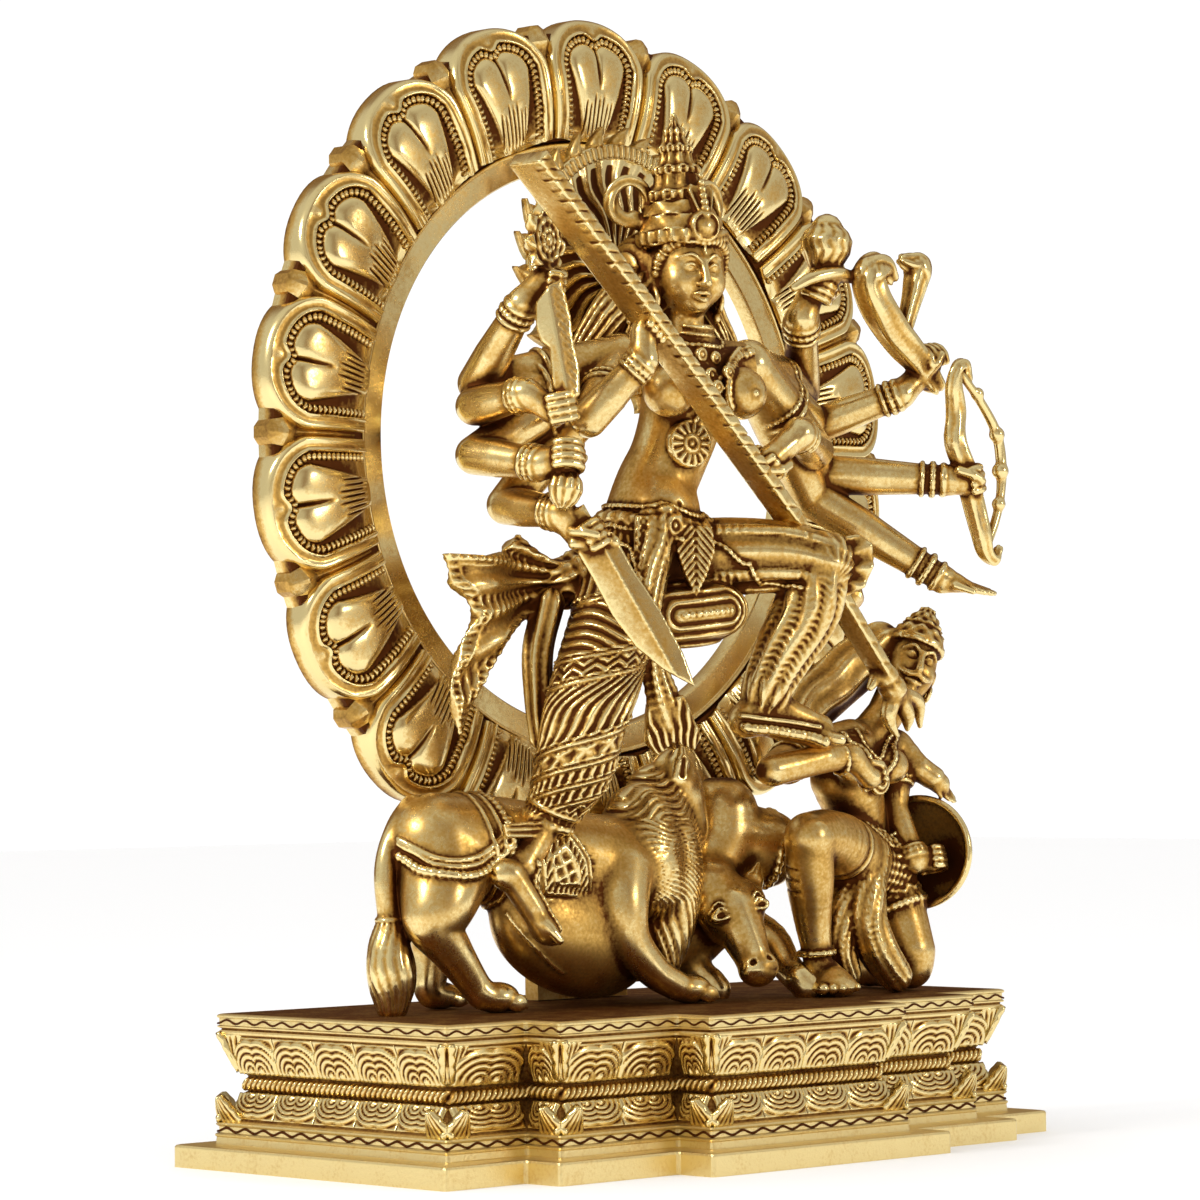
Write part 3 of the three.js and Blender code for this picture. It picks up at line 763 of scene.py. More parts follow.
def make_plinth_body():
    sizes = settings("brass_plinth")
    slab, margin = sizes.slab / MM, sizes.margin / MM
    # Height and inset of every edge from the floor up
    profile = [(0, -margin), (slab - 0.9, -margin), (slab - 0.2, -margin + 0.35), (slab, -margin + 1.2),
               (slab, -0.8), (slab + 0.3, -0.5), (9.2, -0.3), (9.5, -0.6), (10, -0.7), (10.4, -0.2),
               (10.6, 0.25), (12.4, 0.25), (12.6, -0.1), (13.1, -0.5), (13.6, -0.2), (13.8, 0.8), (14.4, 1.6),
               (18.5, 3.4), (22.8, 6), (23.2, 6.6), (27.8, 6.6), (28.6, 6), (34, 3.4), (40.4, 1.4),
               (40.8, 0.5), (41.4, 0.3), (41.9, 0.6), (42.1, 0.9), (42.5, 0.9), (42.8, 0.1), (43.2, -0.1),
               (43.5, 0.4), (45.6, 0.4), (45.9, -0.1), (46.4, -0.1), (46.8, 0.3), (DECK, 1.0), (DECK, 1.8), (DECK, 4)]
    rings = [np.column_stack([rounded_plan(inset), np.full(3 * len(plan(0)), z)]) for z, inset in profile]
    recess = np.concatenate([np.full(len(rings[0]), plinth_recess(z, inset)) for z, inset in profile])
    body = loft_object("plinth_body", rings, recess)
    for polygon in body.data.polygons:
        polygon.use_smooth = False
    finish(body, "plinth", SATIN)


def plinth_recess(z, inset):
    """The polished slab and rims against the darkened grounds of the carved rows and the deck."""
    if z == DECK and inset > 1.5:
        return 0.85
    grounds = [(14.0, 22.8), (23.2, 40.4), (42.0, 42.5)]
    return 0.75 if any(low <= z <= high for low, high in grounds) else -0.3


def height_object(name, columns, rows, place, height, thick, rounds=(3, 14)):
    """A closed relief: place(s, t) gives its plan point, height(x, y) how far it stands out
    along -Y, and thick how far its flat back lies behind, at its foot and at its end."""
    s, t = np.meshgrid(np.linspace(-1, 1, columns), np.linspace(0, 1, rows), indexing="xy")
    x, z = place(s.ravel(), t.ravel())
    front = np.column_stack([x, -height(x, z), z])
    rim = ([(0, c) for c in range(columns)] + [(r, columns - 1) for r in range(1, rows)]
           + [(rows - 1, c) for c in range(columns - 2, -1, -1)] + [(r, 0) for r in range(rows - 2, 0, -1)])
    rim = [r * columns + c for r, c in rim]
    back = front[rim]
    back[:, 1] = np.interp(back[:, 2], (z.min(), z.max()), np.broadcast_to(thick, 2))
    total = rows * columns
    faces = [tuple(int(v) for v in f) for f in grid_faces(rows, columns)]
    count = len(rim)
    for i in range(count):
        j = (i + 1) % count
        faces.append((rim[j], rim[i], total + i, total + j))
    faces.append(tuple(range(total, total + count))[::-1])
    return mesh_object(name, np.vstack([front, back]), faces, rounds=rounds)


def lotus_petal(width, height, relief, upward):
    """A moulding petal: nested arcs of two soft lobes about a round boss, its end up or down."""
    def stand(x, z):
        along = z / height * (1 if upward else -1) + 0.4
        across = np.abs(x) / (width / 2)
        r = np.hypot(np.abs(across - 0.26) * 0.92, along * 1.02) / 0.86
        dome = np.sqrt(np.maximum(1 - np.minimum(r, 1) ** 2.4, 0))
        arcs = np.abs(np.cos(np.pi * (r - 0.04) / 0.22)) ** 0.8
        boss = np.sqrt(np.maximum(1 - (r / 0.17) ** 2, 0))
        return relief * (0.1 + 0.42 * dome + 0.28 * arcs * clamp((1.06 - r) / 0.06) + 0.2 * boss)
    return height_object("petal_source", 29, 21, lambda s, t: (s * width / 2, (t - 0.5) * height), stand, 1.2)


def row_lean(low, high):
    """How far the ground of a row leans back."""
    return math.atan2(row_inset(low) - row_inset(high), high - low)


def along_plinth(inset, height, pitch, margin=0.0, shortest=0.0, lean=0.0):
    """Places at about a pitch along the faces of the plinth, all but its back."""
    places = []
    for start, along, span, out in plinth_faces(inset):
        if span < shortest or out[1] > 0:
            continue
        count = max(1, round((span - 2 * margin) / pitch))
        step = (span - 2 * margin) / count
        for i in range(count):
            x, y = start + along * (margin + (i + 0.5) * step)
            places.append((x, y, height, lean, 0, math.atan2(along[1], along[0]), step / pitch, 1, 1))
    return places


def make_plinth_petals():
    sizes = settings("brass_plinth")
    pitch, relief = sizes.pitch / MM, sizes.relief / MM
    for name, (low, high), upward in (("plinth_upper_petals", UPPER_ROW, True),
                                      ("plinth_lower_petals", LOWER_ROW, False)):
        middle = (low + high) / 2
        places = along_plinth(row_inset(middle), middle, pitch, 2, pitch * 0.6, row_lean(low, high))
        source = lotus_petal(pitch, (high - low) * 1.04, relief, upward)
        scattered(name, source, places, "plinth", CHASED)


def acanthus(width, height, relief):
    """A corner leaf that hangs with its point down, with a midrib and ribs that fan out."""
    def place(s, t):
        half = width / 2 * (0.12 + 0.88 * t ** 0.8) * (1 + 0.07 * np.cos(t * 22))
        return s * half, (t - 1) * height

    def stand(x, z):
        t = z / height + 1
        across = x / (width / 2 * (0.12 + 0.88 * t ** 0.8))
        fan = 0.5 + 0.5 * np.cos(2 * np.pi * (np.abs(across) * 2.3 + 0.1))
        swell = 0.7 + 0.3 * np.sin(np.pi * np.minimum(t + 0.2, 1))
        return relief * (1 - 0.55 * np.abs(across)) * swell + 0.5 * fan
    return height_object("leaf_source", 17, 17, place, stand, 0.6)


def make_plinth_leaves():
    places = []
    faces = list(plinth_faces(0))
    for i, (start, along, _, out) in enumerate(faces):
        _, before, _, before_out = faces[i - 1]
        inner_corner = before[0] * along[1] - before[1] * along[0] < 0
        if inner_corner:
            continue
        for direction, outward in ((along, out), (-before, before_out)):
            for (low, high), up in ((UPPER_ROW, False), (LOWER_ROW, True)):
                top = low - 0.4 if up else high + 1.2
                x, y = start + direction * 4.6 - outward * (row_inset(low if up else high) + 0.2)
                turn = math.atan2(outward[0], -outward[1])
                tall = (high - low + 1.5) / 12
                places.append((x, y, top, row_lean(low, high), math.pi if up else 0.0, turn, 1, 1, tall))
    scattered("plinth_corner_leaves", acanthus(12, 12, 2.0), places, "plinth", CHASED)


def wave_unit(span, radius):
    """One wave of the thin line that runs along the edge bands."""
    steps, sides = 9, 6
    x = np.linspace(-span / 2, span / 2, steps)
    rings = []
    for value in x:
        a = -np.arange(sides) * 2 * np.pi / sides
        z = 0.6 * cycle(value, span)
        rings.append(np.column_stack([np.full(sides, value), radius * np.cos(a), z + radius * np.sin(a)]))
    return loft_object("wave_source", rings, np.full(steps * sides, 0.95), flip=True)


def rib_unit(radius):
    """One slanting rib of the rolled moulding."""
    u = np.linspace(0, np.pi, 7)
    a = np.arange(10) * 0.2 * np.pi
    rings = []
    for v in u:
        reach = radius * max(math.sin(v), 0.05) ** 0.6
        rings.append(np.column_stack([np.full(10, -1.05 * math.cos(v)), reach * np.cos(a), reach * np.sin(a)]))
    rings = np.array(rings)
    slant = 0.45
    rings[..., 0] += rings[..., 2] * slant
    return loft_object("rib_source", rings, np.repeat(0.5 - 0.85 * np.sin(u), 10), flip=True)


def make_plinth_trim():
    sizes = settings("brass_plinth")
    wave, rib = sizes.wave / MM, sizes.rib / MM
    for name, z, inset, pitch, source in (
            ("plinth_upper_wave", 44.6, 0.35, wave, lambda: wave_unit(wave, 0.36)),
            ("plinth_lower_wave", 11.5, 0.2, wave, lambda: wave_unit(wave, 0.42)),
            ("plinth_roll", ROLL_HEIGHT, 6.4, rib, lambda: rib_unit(2.3))):
        scattered(name, source(), along_plinth(inset, z, pitch), "plinth", CHASED)


# Halo ring

def ring_surface(radius):
    """How far back the ring's ground lies at a radius: it bows forward and turns back at the edge."""
    sizes = settings("brass_ring")
    share = (radius - (sizes.inner + sizes.band) / MM) / (sizes.petal / MM)
    return sizes.front / MM + 2.6 * share ** 2 - 4.6 * np.sin(np.pi * clamp(0.1 + 0.82 * share))


def make_ring_band():
    sizes = settings("brass_ring")
    inner, band, front, thick = (v / MM for v in (sizes.inner, sizes.band, sizes.front, sizes.thick))
    # Each edge of the section: how far outside the open middle it lies, and how far back
    profile = [(0, front + thick), (0, front + 0.6), (0.5, front), (band - 1.7, front), (band - 1.3, front - 0.7),
               (band - 0.7, front - 0.95), (band - 0.1, front - 0.6), (band + 0.1, front + 0.5)]
    profile += [(r - inner, ring_surface(r) + 0.4) for r in np.linspace(inner + band + 0.6, inner + band + 35, 16)]
    profile += [(band + 35.4, 7.6), (band + 35.4, 10.2), (band + 3, 14.2), (0.6, front + thick + 0.5)]
    steps = 216
    recess = np.repeat([0.9 if 8.8 < r < 44 and y < 12 else -0.2 for r, y in profile], steps)
    section = [(inner + r, y) for r, y in profile]
    piece = ring_object("ring_band", section, (0, 0, RING_MIDDLE), steps, recess, flip=True)
    finish(creased(piece), "halo_ring", POLISHED)
    foot_rings = [[(-x, y, DECK + z), (x, y, DECK + z), (x, 15.7, DECK + z), (-x, 15.7, DECK + z)]
                  for x, y, z in ((20, 9.7, 0.4), (20, 9.9, 4.4), (20, 9.9, 51))]
    foot = loft_object("ring_foot", foot_rings, np.full(12, 0.1))
    finish(creased(foot), "halo_ring", SATIN)


def petal_span():
    """The radius at which the ring's petals start, and how far they reach."""
    sizes = settings("brass_ring")
    return (sizes.inner + sizes.band) / MM, sizes.petal / MM - 1


def half_width(share):
    """Half the width of a ring petal at a share of its length."""
    sector = math.tan(math.pi / settings("brass_ring").count) * 0.955
    low, reach = petal_span()
    tip = clamp((share - 0.5) / 0.5)
    return sector * (low + reach * np.minimum(share, 0.62)) * np.maximum(1 - tip ** 2.5, 0) ** 0.46


def petal_rim():
    """The outline of a ring petal that points up, from its right foot over its end to the left."""
    low, reach = petal_span()
    shares = np.concatenate([np.linspace(0, 0.9, 60), 1 - 0.1 * np.linspace(1, 0.05, 40) ** 2])
    rim = np.column_stack([half_width(shares), low + reach * shares])
    return np.vstack([rim, rim[::-1] * (-1, 1)])


def notch(x, share):
    """How far a petal's carved lines dip towards its foot at the middle of its end."""
    return 2.6 * crest(x, 2.6) * clamp((share - 0.5) / 0.35)


def ring_petal():
    """One petal pointing up from the ring's middle: a smooth broad rim, a thin line, a channel
    for the rope, and a heart of two lobes with a cleft and a few cut lines at its foot."""
    low, reach = petal_span()
    rim = petal_rim()

    def place(s, t):
        share = 1 - (1 - t * 0.9965) ** 1.3
        return s * half_width(share), low + reach * share

    def lines(x, z):
        """How far inside the outline points lie, plainly and as the carved lines run, their
        share of the petal's length, and how much its heart narrows there."""
        share = (z - low) / reach
        inward = np.full(x.shape, 1e9)
        for a, b in zip(rim[:-1], rim[1:]):
            e = b - a
            k = clamp(((x - a[0]) * e[0] + (z - a[1]) * e[1]) / max(e[0] ** 2 + e[1] ** 2, 1e-9))
            inward = np.minimum(inward, np.hypot(x - a[0] - k * e[0], z - a[1] - k * e[1]))
        d = inward - notch(x, share) * clamp((inward - 1.5) / 3)
        return inward, d * (1 + 0.12 * (1 - share)), share, clamp(0.72 - share)

    def stand(x, z):
        inward, d, share, narrow = lines(x, z)
        height = 2.3 * np.sqrt(clamp(1 - (1 - np.minimum(inward / 1.6, 1)) ** 2))
        height -= 0.55 * np.sin(np.pi * clamp((d - 1.2) / 3.6))
        height += 0.45 * crest(d - 4.4, 0.34)
        height -= 1.6 * clamp((d - 4.8) / 0.5)
        heart = d - 7.8 - 8.5 * narrow
        dome = clamp(heart / 4.4)
        height += 2.1 * np.sqrt(clamp(1 - (1 - dome) ** 2)) * clamp(0.35 + share)
        cleft = clamp((share - 0.4) / 0.3) * clamp(heart / 0.6)
        height -= (1.7 * crest(x, 0.7) + 0.5 * crest(x, 2.6)) * cleft
        for k in range(-3, 4):
            middle = 1.9 * k * (0.8 + 0.5 * share)
            long = 0.36 - 0.03 * abs(k) + 0.05 * (k % 2)
            run_out = np.sin(np.pi * clamp((share - 0.02) / long))
            height -= 1.1 * crest(x - middle, 0.36) * run_out * clamp((d - 8.4) / 0.8)
        height -= 0.5 * clamp((d - 7.0) / 0.6) * clamp((0.5 - heart) / 0.8)
        return height - ring_surface(z)
    petal = height_object("petal_source", 121, 111, place, stand, (15.2, 9.6), rounds=(8, 50))
    x, y, z = points_of(petal.data).T
    _, d, share, narrow = lines(x, z)
    ground = (d > 4.7) & (d < 8.2 + 8.5 * narrow)
    recess = recess_of(petal.data) + np.where(ground, 0.3 - 0.55 * narrow, 0.7 * clamp(0.4 - share))
    recess[y > 8] = 0.45  # the plain back
    set_recess(petal.data, recess)
    return creased(thinned(petal, 4300), 60)


def rope_bead():
    """One slanting strand of the rope around a ring petal's heart."""
    rings = [[(1.5 * math.cos(a) * math.cos(b), 1.35 * math.sin(a),
               0.82 * math.cos(a) * math.sin(b) + 0.5 * math.sin(b) ** 2)
              for b in -np.arange(7) * 2 * np.pi / 7] for a in (-1.35, -0.5, 0.4, 1.35)]
    return loft_object("bead_source", rings, np.repeat([-0.3, -0.1, 0.5, 0.9], 7))


def rope_places():
    """Where the strands of the ropes lie, about six millimetres inside each petal's outline."""
    low, reach = petal_span()
    rim = petal_rim()
    way = np.gradient(rim, axis=0)
    way /= np.maximum(np.linalg.norm(way, axis=1, keepdims=True), 1e-9)
    share = (rim[:, 1:] - low) / reach
    path = rim + np.column_stack([-way[:, 1], way[:, 0]]) * 6.6 / (1 + 0.12 * (1 - share))
    path[:, 1] -= notch(path[:, 0], share[:, 0])
    path = path[(path[:, 1] > low + 1.2) & (rim[:, 0] * path[:, 0] > 0)]
    run = np.concatenate([[0], np.cumsum(np.hypot(*np.diff(path, axis=0).T))])
    even = np.linspace(0, run[-1], int(run[-1] / 1.85))
    x, z = (np.interp(even, run, path[:, k]) for k in (0, 1))
    tilt = np.arctan2(-np.gradient(z), np.gradient(x)) + math.pi / 2
    places = []
    count = settings("brass_ring").count
    for i in range(count):
        turn = 2 * math.pi * i / count
        for px, pz, lean in zip(x, z, tilt):
            places.append((px * math.cos(turn) + pz * math.sin(turn), float(ring_surface(pz)) - 0.75,
                           RING_MIDDLE - px * math.sin(turn) + pz * math.cos(turn), 0, turn + lean, 0, 1, 1, 1))
    return places


def ring_leaf():
    """The tip of a leaf that shows between two petals: a thin stalk line and a faceted end."""
    # Radius, half the width and how far it stands out
    shape = [(103, 0.5, 0.5), (112, 0.7, 0.9), (121, 0.9, 1.2), (127.0, 1.2, 1.0), (127.8, 3.4, 1.2),
             (131.6, 4.3, 3.6), (135.2, 3.7, 2.4), (136.9, 1.7, 0.9)]
    rings = []
    for z, half, rise in shape:
        y = ring_surface(min(z, 134.0)) + 0.6
        back = max(y + 0.5, 9.4) if z > 127.4 else y + 0.5
        rings.append([(-half, back, z), (-half, y - rise * 0.2, z), (-half * 0.15, y - rise, z),
                      (half * 0.15, y - rise, z), (half, y - rise * 0.2, z), (half, back, z)])
    recess = np.repeat([0.3, 0.1, 0.1, 0.3, 0.35, -0.2, -0.05, 0.1], 6)
    return creased(loft_object("leaf_source", rings, recess), 24)


def make_ring_petals():
    sizes = settings("brass_ring")
    step = 2 * math.pi / sizes.count
    for name, source, offset, kind in (("ring_petals", ring_petal, 0, POLISHED),
                                       ("ring_leaf_tips", ring_leaf, 0.5, CHASED)):
        places = [(0, 0, RING_MIDDLE, 0, step * (i + offset), 0, 1, 1, 1) for i in range(sizes.count)]
        scattered(name, source(), places, "halo_ring", kind)
    scattered("ring_ropes", rope_bead(), rope_places(), "halo_ring", CHASED)


# Figures

def girdle(form, start, end, share, reach, thick=0.9, pitch=None):
    """A ring round a limb at a share of its way, ribbed where a pitch is given."""
    a, b = np.array(start[:3], float), np.array(end[:3], float)
    way = unit(b - a)
    e = unit(np.cross(way, (0.3, 0.4, 0.86)))
    stations = hoop(a + (b - a) * share, e, np.cross(way, e), (reach, reach), 26, thick)
    form.limb(stations, 0.3, beads(0.45, pitch, np.cos))


def fist(form, wrist, hand, grip, size=1.0):
    """A closed hand round something that runs along grip."""
    centre = np.array(hand[:3], float)
    g = unit(grip)
    p = centre - np.array(wrist[:3], float)
    p = unit(p - np.dot(p, g) * g)
    q = np.cross(g, p)
    form.limb([[*wrist[:3], wrist[3]], [*(centre - p * 2.4 * size), 4.2 * size]], 2.5)
    form.ball(centre, (4.6 * size, 4.2 * size, 5.0 * size), 1.5, axes=(p, q, g))
    for i in range(4):
        base = centre + g * (i - 1.5) * 2.35 * size
        reach = (5.0 - 0.25 * abs(i - 1.3)) * size
        path = [[*(base + reach * (math.cos(a) * p + math.sin(a) * q)), 1.35 * size]
                for a in np.linspace(-1.9, 1.3, 7)]
        form.limb(path, 0.35)
    thumb = [[*(centre + size * (-2.5 * p + 3.5 * q - 4 * g)), 1.7 * size],
             [*(centre + size * (1.5 * p + 5.2 * q - 2.0 * g)), 1.5 * size],
             [*(centre + size * (4.2 * p + 4.4 * q + 0.5 * g)), 1.2 * size]]
    form.limb(thumb, 0.5)


def foot(form, heel, toe, sole, size=1.0):
    """A bare foot from heel to toes whose sole faces a given way."""
    a, b = np.array(heel, float), np.array(toe, float)
    way = unit(b - a)
    down = unit(np.asarray(sole, float) - np.dot(sole, way) * way)
    side = np.cross(way, down)
    long = float(np.linalg.norm(b - a))
    form.ball(a + way * 1.5, (4.8 * size, 4.2 * size, 4.6 * size), 2, axes=(way, side, down))
    form.limb([[*(a + way * 3 - down * 1.5), 4.8 * size], [*(a + way * long * 0.55 - down * 0.4), 4.4 * size],
               [*(b - way * 4.4 * size + down * 0.8), 3.6 * size]], 2, squash=(down, 1.12))
    form.ball(b - way * 5 * size + down * 0.9, (5.0 * size, 6.0 * size, 3.1 * size), 2, axes=(way, side, down))
    for i in range(5):
        k = i - 2
        root = b - way * (3.2 + 0.5 * abs(k)) * size + side * k * 2.35 * size + down * 1.2
        tip = root + way * (3.4 - 0.42 * i) * size + side * k * 0.12 * size
        form.limb([[*root, (1.65 - 0.1 * i) * size], [*tip, (1.5 - 0.1 * i) * size]], 0.3)


def open_hand(form, wrist, hand, back, size=1.0):
    """A flat hand whose fingers lie together and point on from the wrist."""
    a, b = np.array(wrist[:3], float), np.array(hand[:3], float)
    way = unit(b - a)
    side = unit(np.cross(way, back))
    palm = a + way * 6 * size
    form.limb([[*a, wrist[3]], [*(palm - way * 2), 3.2 * size]], 2)
    form.ball(palm, (5.6 * size, 4.6 * size, 2.3 * size), 2, axes=(way, side, np.cross(way, side)))
    for i in range(4):
        root = palm + way * 3.6 * size + side * (i - 1.5) * 2.1 * size
        long = (10.5, 12, 11, 8.5)[i] * size
        tip = palm + way * long + side * (i - 1.5) * 1.5 * size
        form.limb([[*root, 1.25 * size], [*tip, 0.9 * size]], 0.5)
    root = palm - way * 2 + side * 4 * size
    form.limb([[*root, 1.5 * size], [*(root + way * 6 * size + side * 2 * size), 1.0 * size]], 0.8)


def arm(form, shoulder, elbow, wrist, bracelet=True, armlet=True):
    """A full round arm with its bracelet and a small armlet."""
    s, e, w = (np.array(p[:3], float) for p in (shoulder, elbow, wrist))
    form.limb([[*s, shoulder[3] + 0.4], [*(s + (e - s) * 0.45), shoulder[3] * 0.5 + elbow[3] * 0.5 + 0.5],
               [*e, elbow[3] * 0.93], [*(e + (w - e) * 0.35), elbow[3] * 0.9], [*w, wrist[3]]], 1.5)
    if bracelet:
        for share, thick, pitch in ((0.80, 0.8, None), (0.88, 1.15, 1.9), (0.96, 0.8, None)):
            radius = elbow[3] * 0.9 + (wrist[3] - elbow[3] * 0.9) * (share - 0.35) / 0.65
            girdle(form, elbow, wrist, share, radius + 0.35, thick, pitch)
    if armlet:
        for share in (0.5, 0.58):
            radius = shoulder[3] + (elbow[3] - shoulder[3]) * share + 0.5
            girdle(form, shoulder, elbow, share, radius, 0.9, 2.0 if share < 0.55 else None)


# Sideways as the camera sees it, for what lies flat to the view
ACROSS = (0.714, -0.7, 0)

SHOULDER_R = (-19.5, -31, 203, 7)
SHOULDER_L = (30, -38, 203, 7)

# Arms on each side: elbow, wrist, hand and the direction in which the fist grips
ARMS_R = [((-49.5, -46, 181.5, 6.2), (-37.5, -58, 199.5, 4.3), (-35, -57, 209), (-0.75, -0.05, 0.66)),
          ((-69, -17, 193.5, 6.6), (-69.5, -38, 216.5, 4.4), (-62.5, -42, 223), (0, -0.3, 1)),
          ((-73, -20, 186, 6.4), (-72, -42, 188.5, 4.4), (-66, -50, 184), (-0.2, 0.1, 1)),
          ((-73, -20, 171, 6.6), (-69.5, -46, 167, 4.5), (-66, -53, 169), (0.2, 0.2, 1)),
          ((-60, -20, 156, 6.6), (-60, -44, 152.5, 4.5), (-54.5, -51, 145), (0.38, -0.3, -0.87))]
ARMS_L = [((59, -40, 176.5, 6.6), (33.5, -57, 180, 4.5), (22, -55, 171), (-0.75, -0.05, 0.66)),
          ((76.5, -18, 198, 6.6), (57.5, -36, 219.5, 4.9), (61, -41, 230), (0.3, -0.3, 1)),
          ((75, -25, 186, 6.4), (92, -48, 196, 4.4), (101.5, -52, 207), (1, 0, 0.2)),
          ((73, -28, 170, 7), (102.5, -59, 167.5, 4.5), (107.5, -63, 167.5), (0.25, 0, -1))]


def medallion(form, place, lift, radii, blend, depth, pitch):
    """A small round boss with rings, set on the skin near a place."""
    spot = form.settle([[*place, 1]], lift)[0, :3]
    form.ball(spot, radii, blend, relief=lambda x, y, z: depth * cycle(np.hypot(x - spot[0], z - spot[2]), pitch))


def flame_disc(form, centre, across, radius, spikes):
    """A small wheel of flames with a boss."""
    outline = []
    for i in range(2 * spikes):
        r = radius if i % 2 else radius * 0.7
        a = math.pi * (i + 0.25 * (i % 2)) / spikes
        outline.append((r * math.sin(a), r * math.cos(a)))
    rings = lambda s, t: 0.5 * cycle(np.hypot(s, t), 3.2) + 0.3 * np.cos(np.arctan2(t, s) * spikes)
    form.leaf(outline, 3.0, centre, across, UP, 0.4, rings)
    form.ball(centre, 2.6, 0.6)


def make_right_arms():
    form = Form((-92, -74, 90), (-6, -6, 254), settings("brass_figure").arm_grain / MM)
    for i, (elbow, wrist, hand, grip) in enumerate(ARMS_R):
        arm(form, SHOULDER_R, elbow, wrist, armlet=i < 4)
        fist(form, wrist, hand, grip)
    flame_disc(form, (-63.5, -42, 236), (0.95, 0.3, 0), 12.5, 9)
    form.limb([[-63, -42, 214, 1.8], [-63.5, -42, 228, 1.8]], 0.5)
    blade = [(2.2, 38.5), (-1.2, 37), (-5.6, 31.5), (-5.8, 24), (-4.2, 19.5), (-1.6, 17.5), (-0.8, 6), (2.2, 0.5),
             (4.6, 1), (7.6, 3.5), (7.6, 12), (5.8, 20), (5.2, 27), (3.6, 34)]

    def facets(s, t):
        ridge = -2.0 + 0.18 * (36 - t)
        fine = 0.22 * (cycle(t + s, 2.4) > 0.6) * (np.abs(s - ridge) > 1.5) * (s > ridge)
        return 1.3 - 0.42 * np.abs(s - ridge) - fine
    form.leaf(blade, 3.2, (-67.5, -50, 184.5), ACROSS, UP, 0.4, facets, soft=0.9)
    bud = [(0, 4), (1.6, 3), (2.0, 0), (4.6, -3), (5.2, -6), (4.0, -9.5), (1.6, -12), (0, -13)]
    form.turned((-65, -53, 165), bud[::-1], 0.4, (0.2, -0.05, 1), flutes(0.35, 9))
    sword = [(-2.2, -8), (-2.2, 1), (-6.8, 4), (-6.6, 14), (-7.0, 26), (-5.4, 38), (-1.6, 48), (4.4, 57.5), (6.4, 46),
             (6.8, 32), (5.6, 18), (5.8, 4), (2.2, 1), (2.2, -8)]
    bevel = lambda s, t: np.where(s > 1.4, -0.3 * (s - 1.4), 0.35 * crest(s - 1.2, 0.4)) * (t > 4)
    form.leaf(sword, 3.8, (-54.5, -51.5, 147), ACROSS, (0.38, -0.3, -0.87), 0.3, bevel, soft=0.6)
    form.limb([[-59, -49, 143, 2], [-49, -56, 143.5, 2]], 0.6)
    arms = form_object("goddess_right_arms", form, 72000)
    finish(arms, "durga", POLISHED)


def make_left_arms():
    form = Form((16, -78, 118), (130, -6, 260), settings("brass_figure").arm_grain / MM)
    for elbow, wrist, hand, grip in ARMS_L:
        arm(form, SHOULDER_L, elbow, wrist)
        fist(form, wrist, hand, grip)
    arm(form, SHOULDER_L, (69.5, -28, 162.5, 7.2), (101.5, -57, 135, 4.3), armlet=False)
    open_hand(form, (101.5, -57, 135, 4.3), (118, -70, 129), (0.2, -0.5, 0.8))
    shell = [(0, -4), (3.4, -2), (5.6, 2), (7.8, 6), (8.4, 10), (7.0, 13), (5.2, 14.6), (5.0, 16), (3.4, 18),
             (0, 19.5)]
    form.turned((62.6, -42, 235), shell, 0.5, (0.08, 0, 1),
                lambda h, turn, r: 0.42 * np.abs(np.cos(turn * 6 + 0.55 * np.sin(h * 0.9))) * (h < 15) - 0.2)
    lip = curve([[46.5, -43, 228.5, 1.6], [53, -45, 232, 2.6], [62, -46.5, 234, 3.0], [71, -46.5, 233.2, 2.6],
                 [78, -46, 234.8, 1.5]], 5)
    form.limb(lip, 1.2, squash=(UP, 1.3))
    noose = curve([[103, -52, 200, 3.4], [97, -52, 206, 4.2], [89, -52, 212, 5.0], [81, -52, 219, 5.2],
                   [74, -52.5, 227, 4.8], [72.5, -52.5, 234, 4.2], [77.5, -52.5, 237.5, 3.6], [82, -52, 234, 2.6]], 6)
    form.limb(noose, 0.8, flutes(0.5, 4, 0.4, 0.3), squash=((0.714, -0.7, -0.6), 0.8))
    lobe = curve([[90, -52, 218, 2.6], [93, -52, 226, 3.2], [95.5, -52, 233, 4.0], [96.5, -52, 238, 4.4],
                  [91, -51.5, 239.5, 2.6]], 6)
    form.limb(lobe, 0.8, flutes(0.4, 5))
    bow = curve([[107, -64, 201, 1.6], [105.5, -64, 205.5, 1.9], [102, -64, 204, 2.1], [101.5, -63, 198, 2.7],
                 [103.5, -62, 190, 3.2], [103, -62, 180, 3.5], [107, -63, 170, 3.6], [110.5, -63, 160, 3.5],
                 [113, -64, 150, 3.2], [115, -64, 144, 2.6], [119, -64, 141.5, 2.0], [121.5, -64, 145, 1.6]], 5)
    form.limb(bow, 0.4, flutes(0.3, 4), squash=((0.714, 0.7, 0), 1.5))
    string = curve([[104, -64, 202, 1.3], [113, -64, 194, 1.5], [121, -64, 184, 1.7], [123.5, -64, 174, 1.8],
                    [123, -64, 163, 1.5], [120, -64, 154, 1.5], [115.5, -64, 146, 1.6]], 5)
    form.limb(string, 0.4)
    for x, z, r in ((121.5, 183, 2.6), (123, 171, 2.8), (122, 160, 2.3), (112, 196, 2.2)):
        form.ball((x, -64, z), r, 0.6)
    arms = form_object("goddess_left_arms", form, 80000)
    finish(arms, "durga", POLISHED)


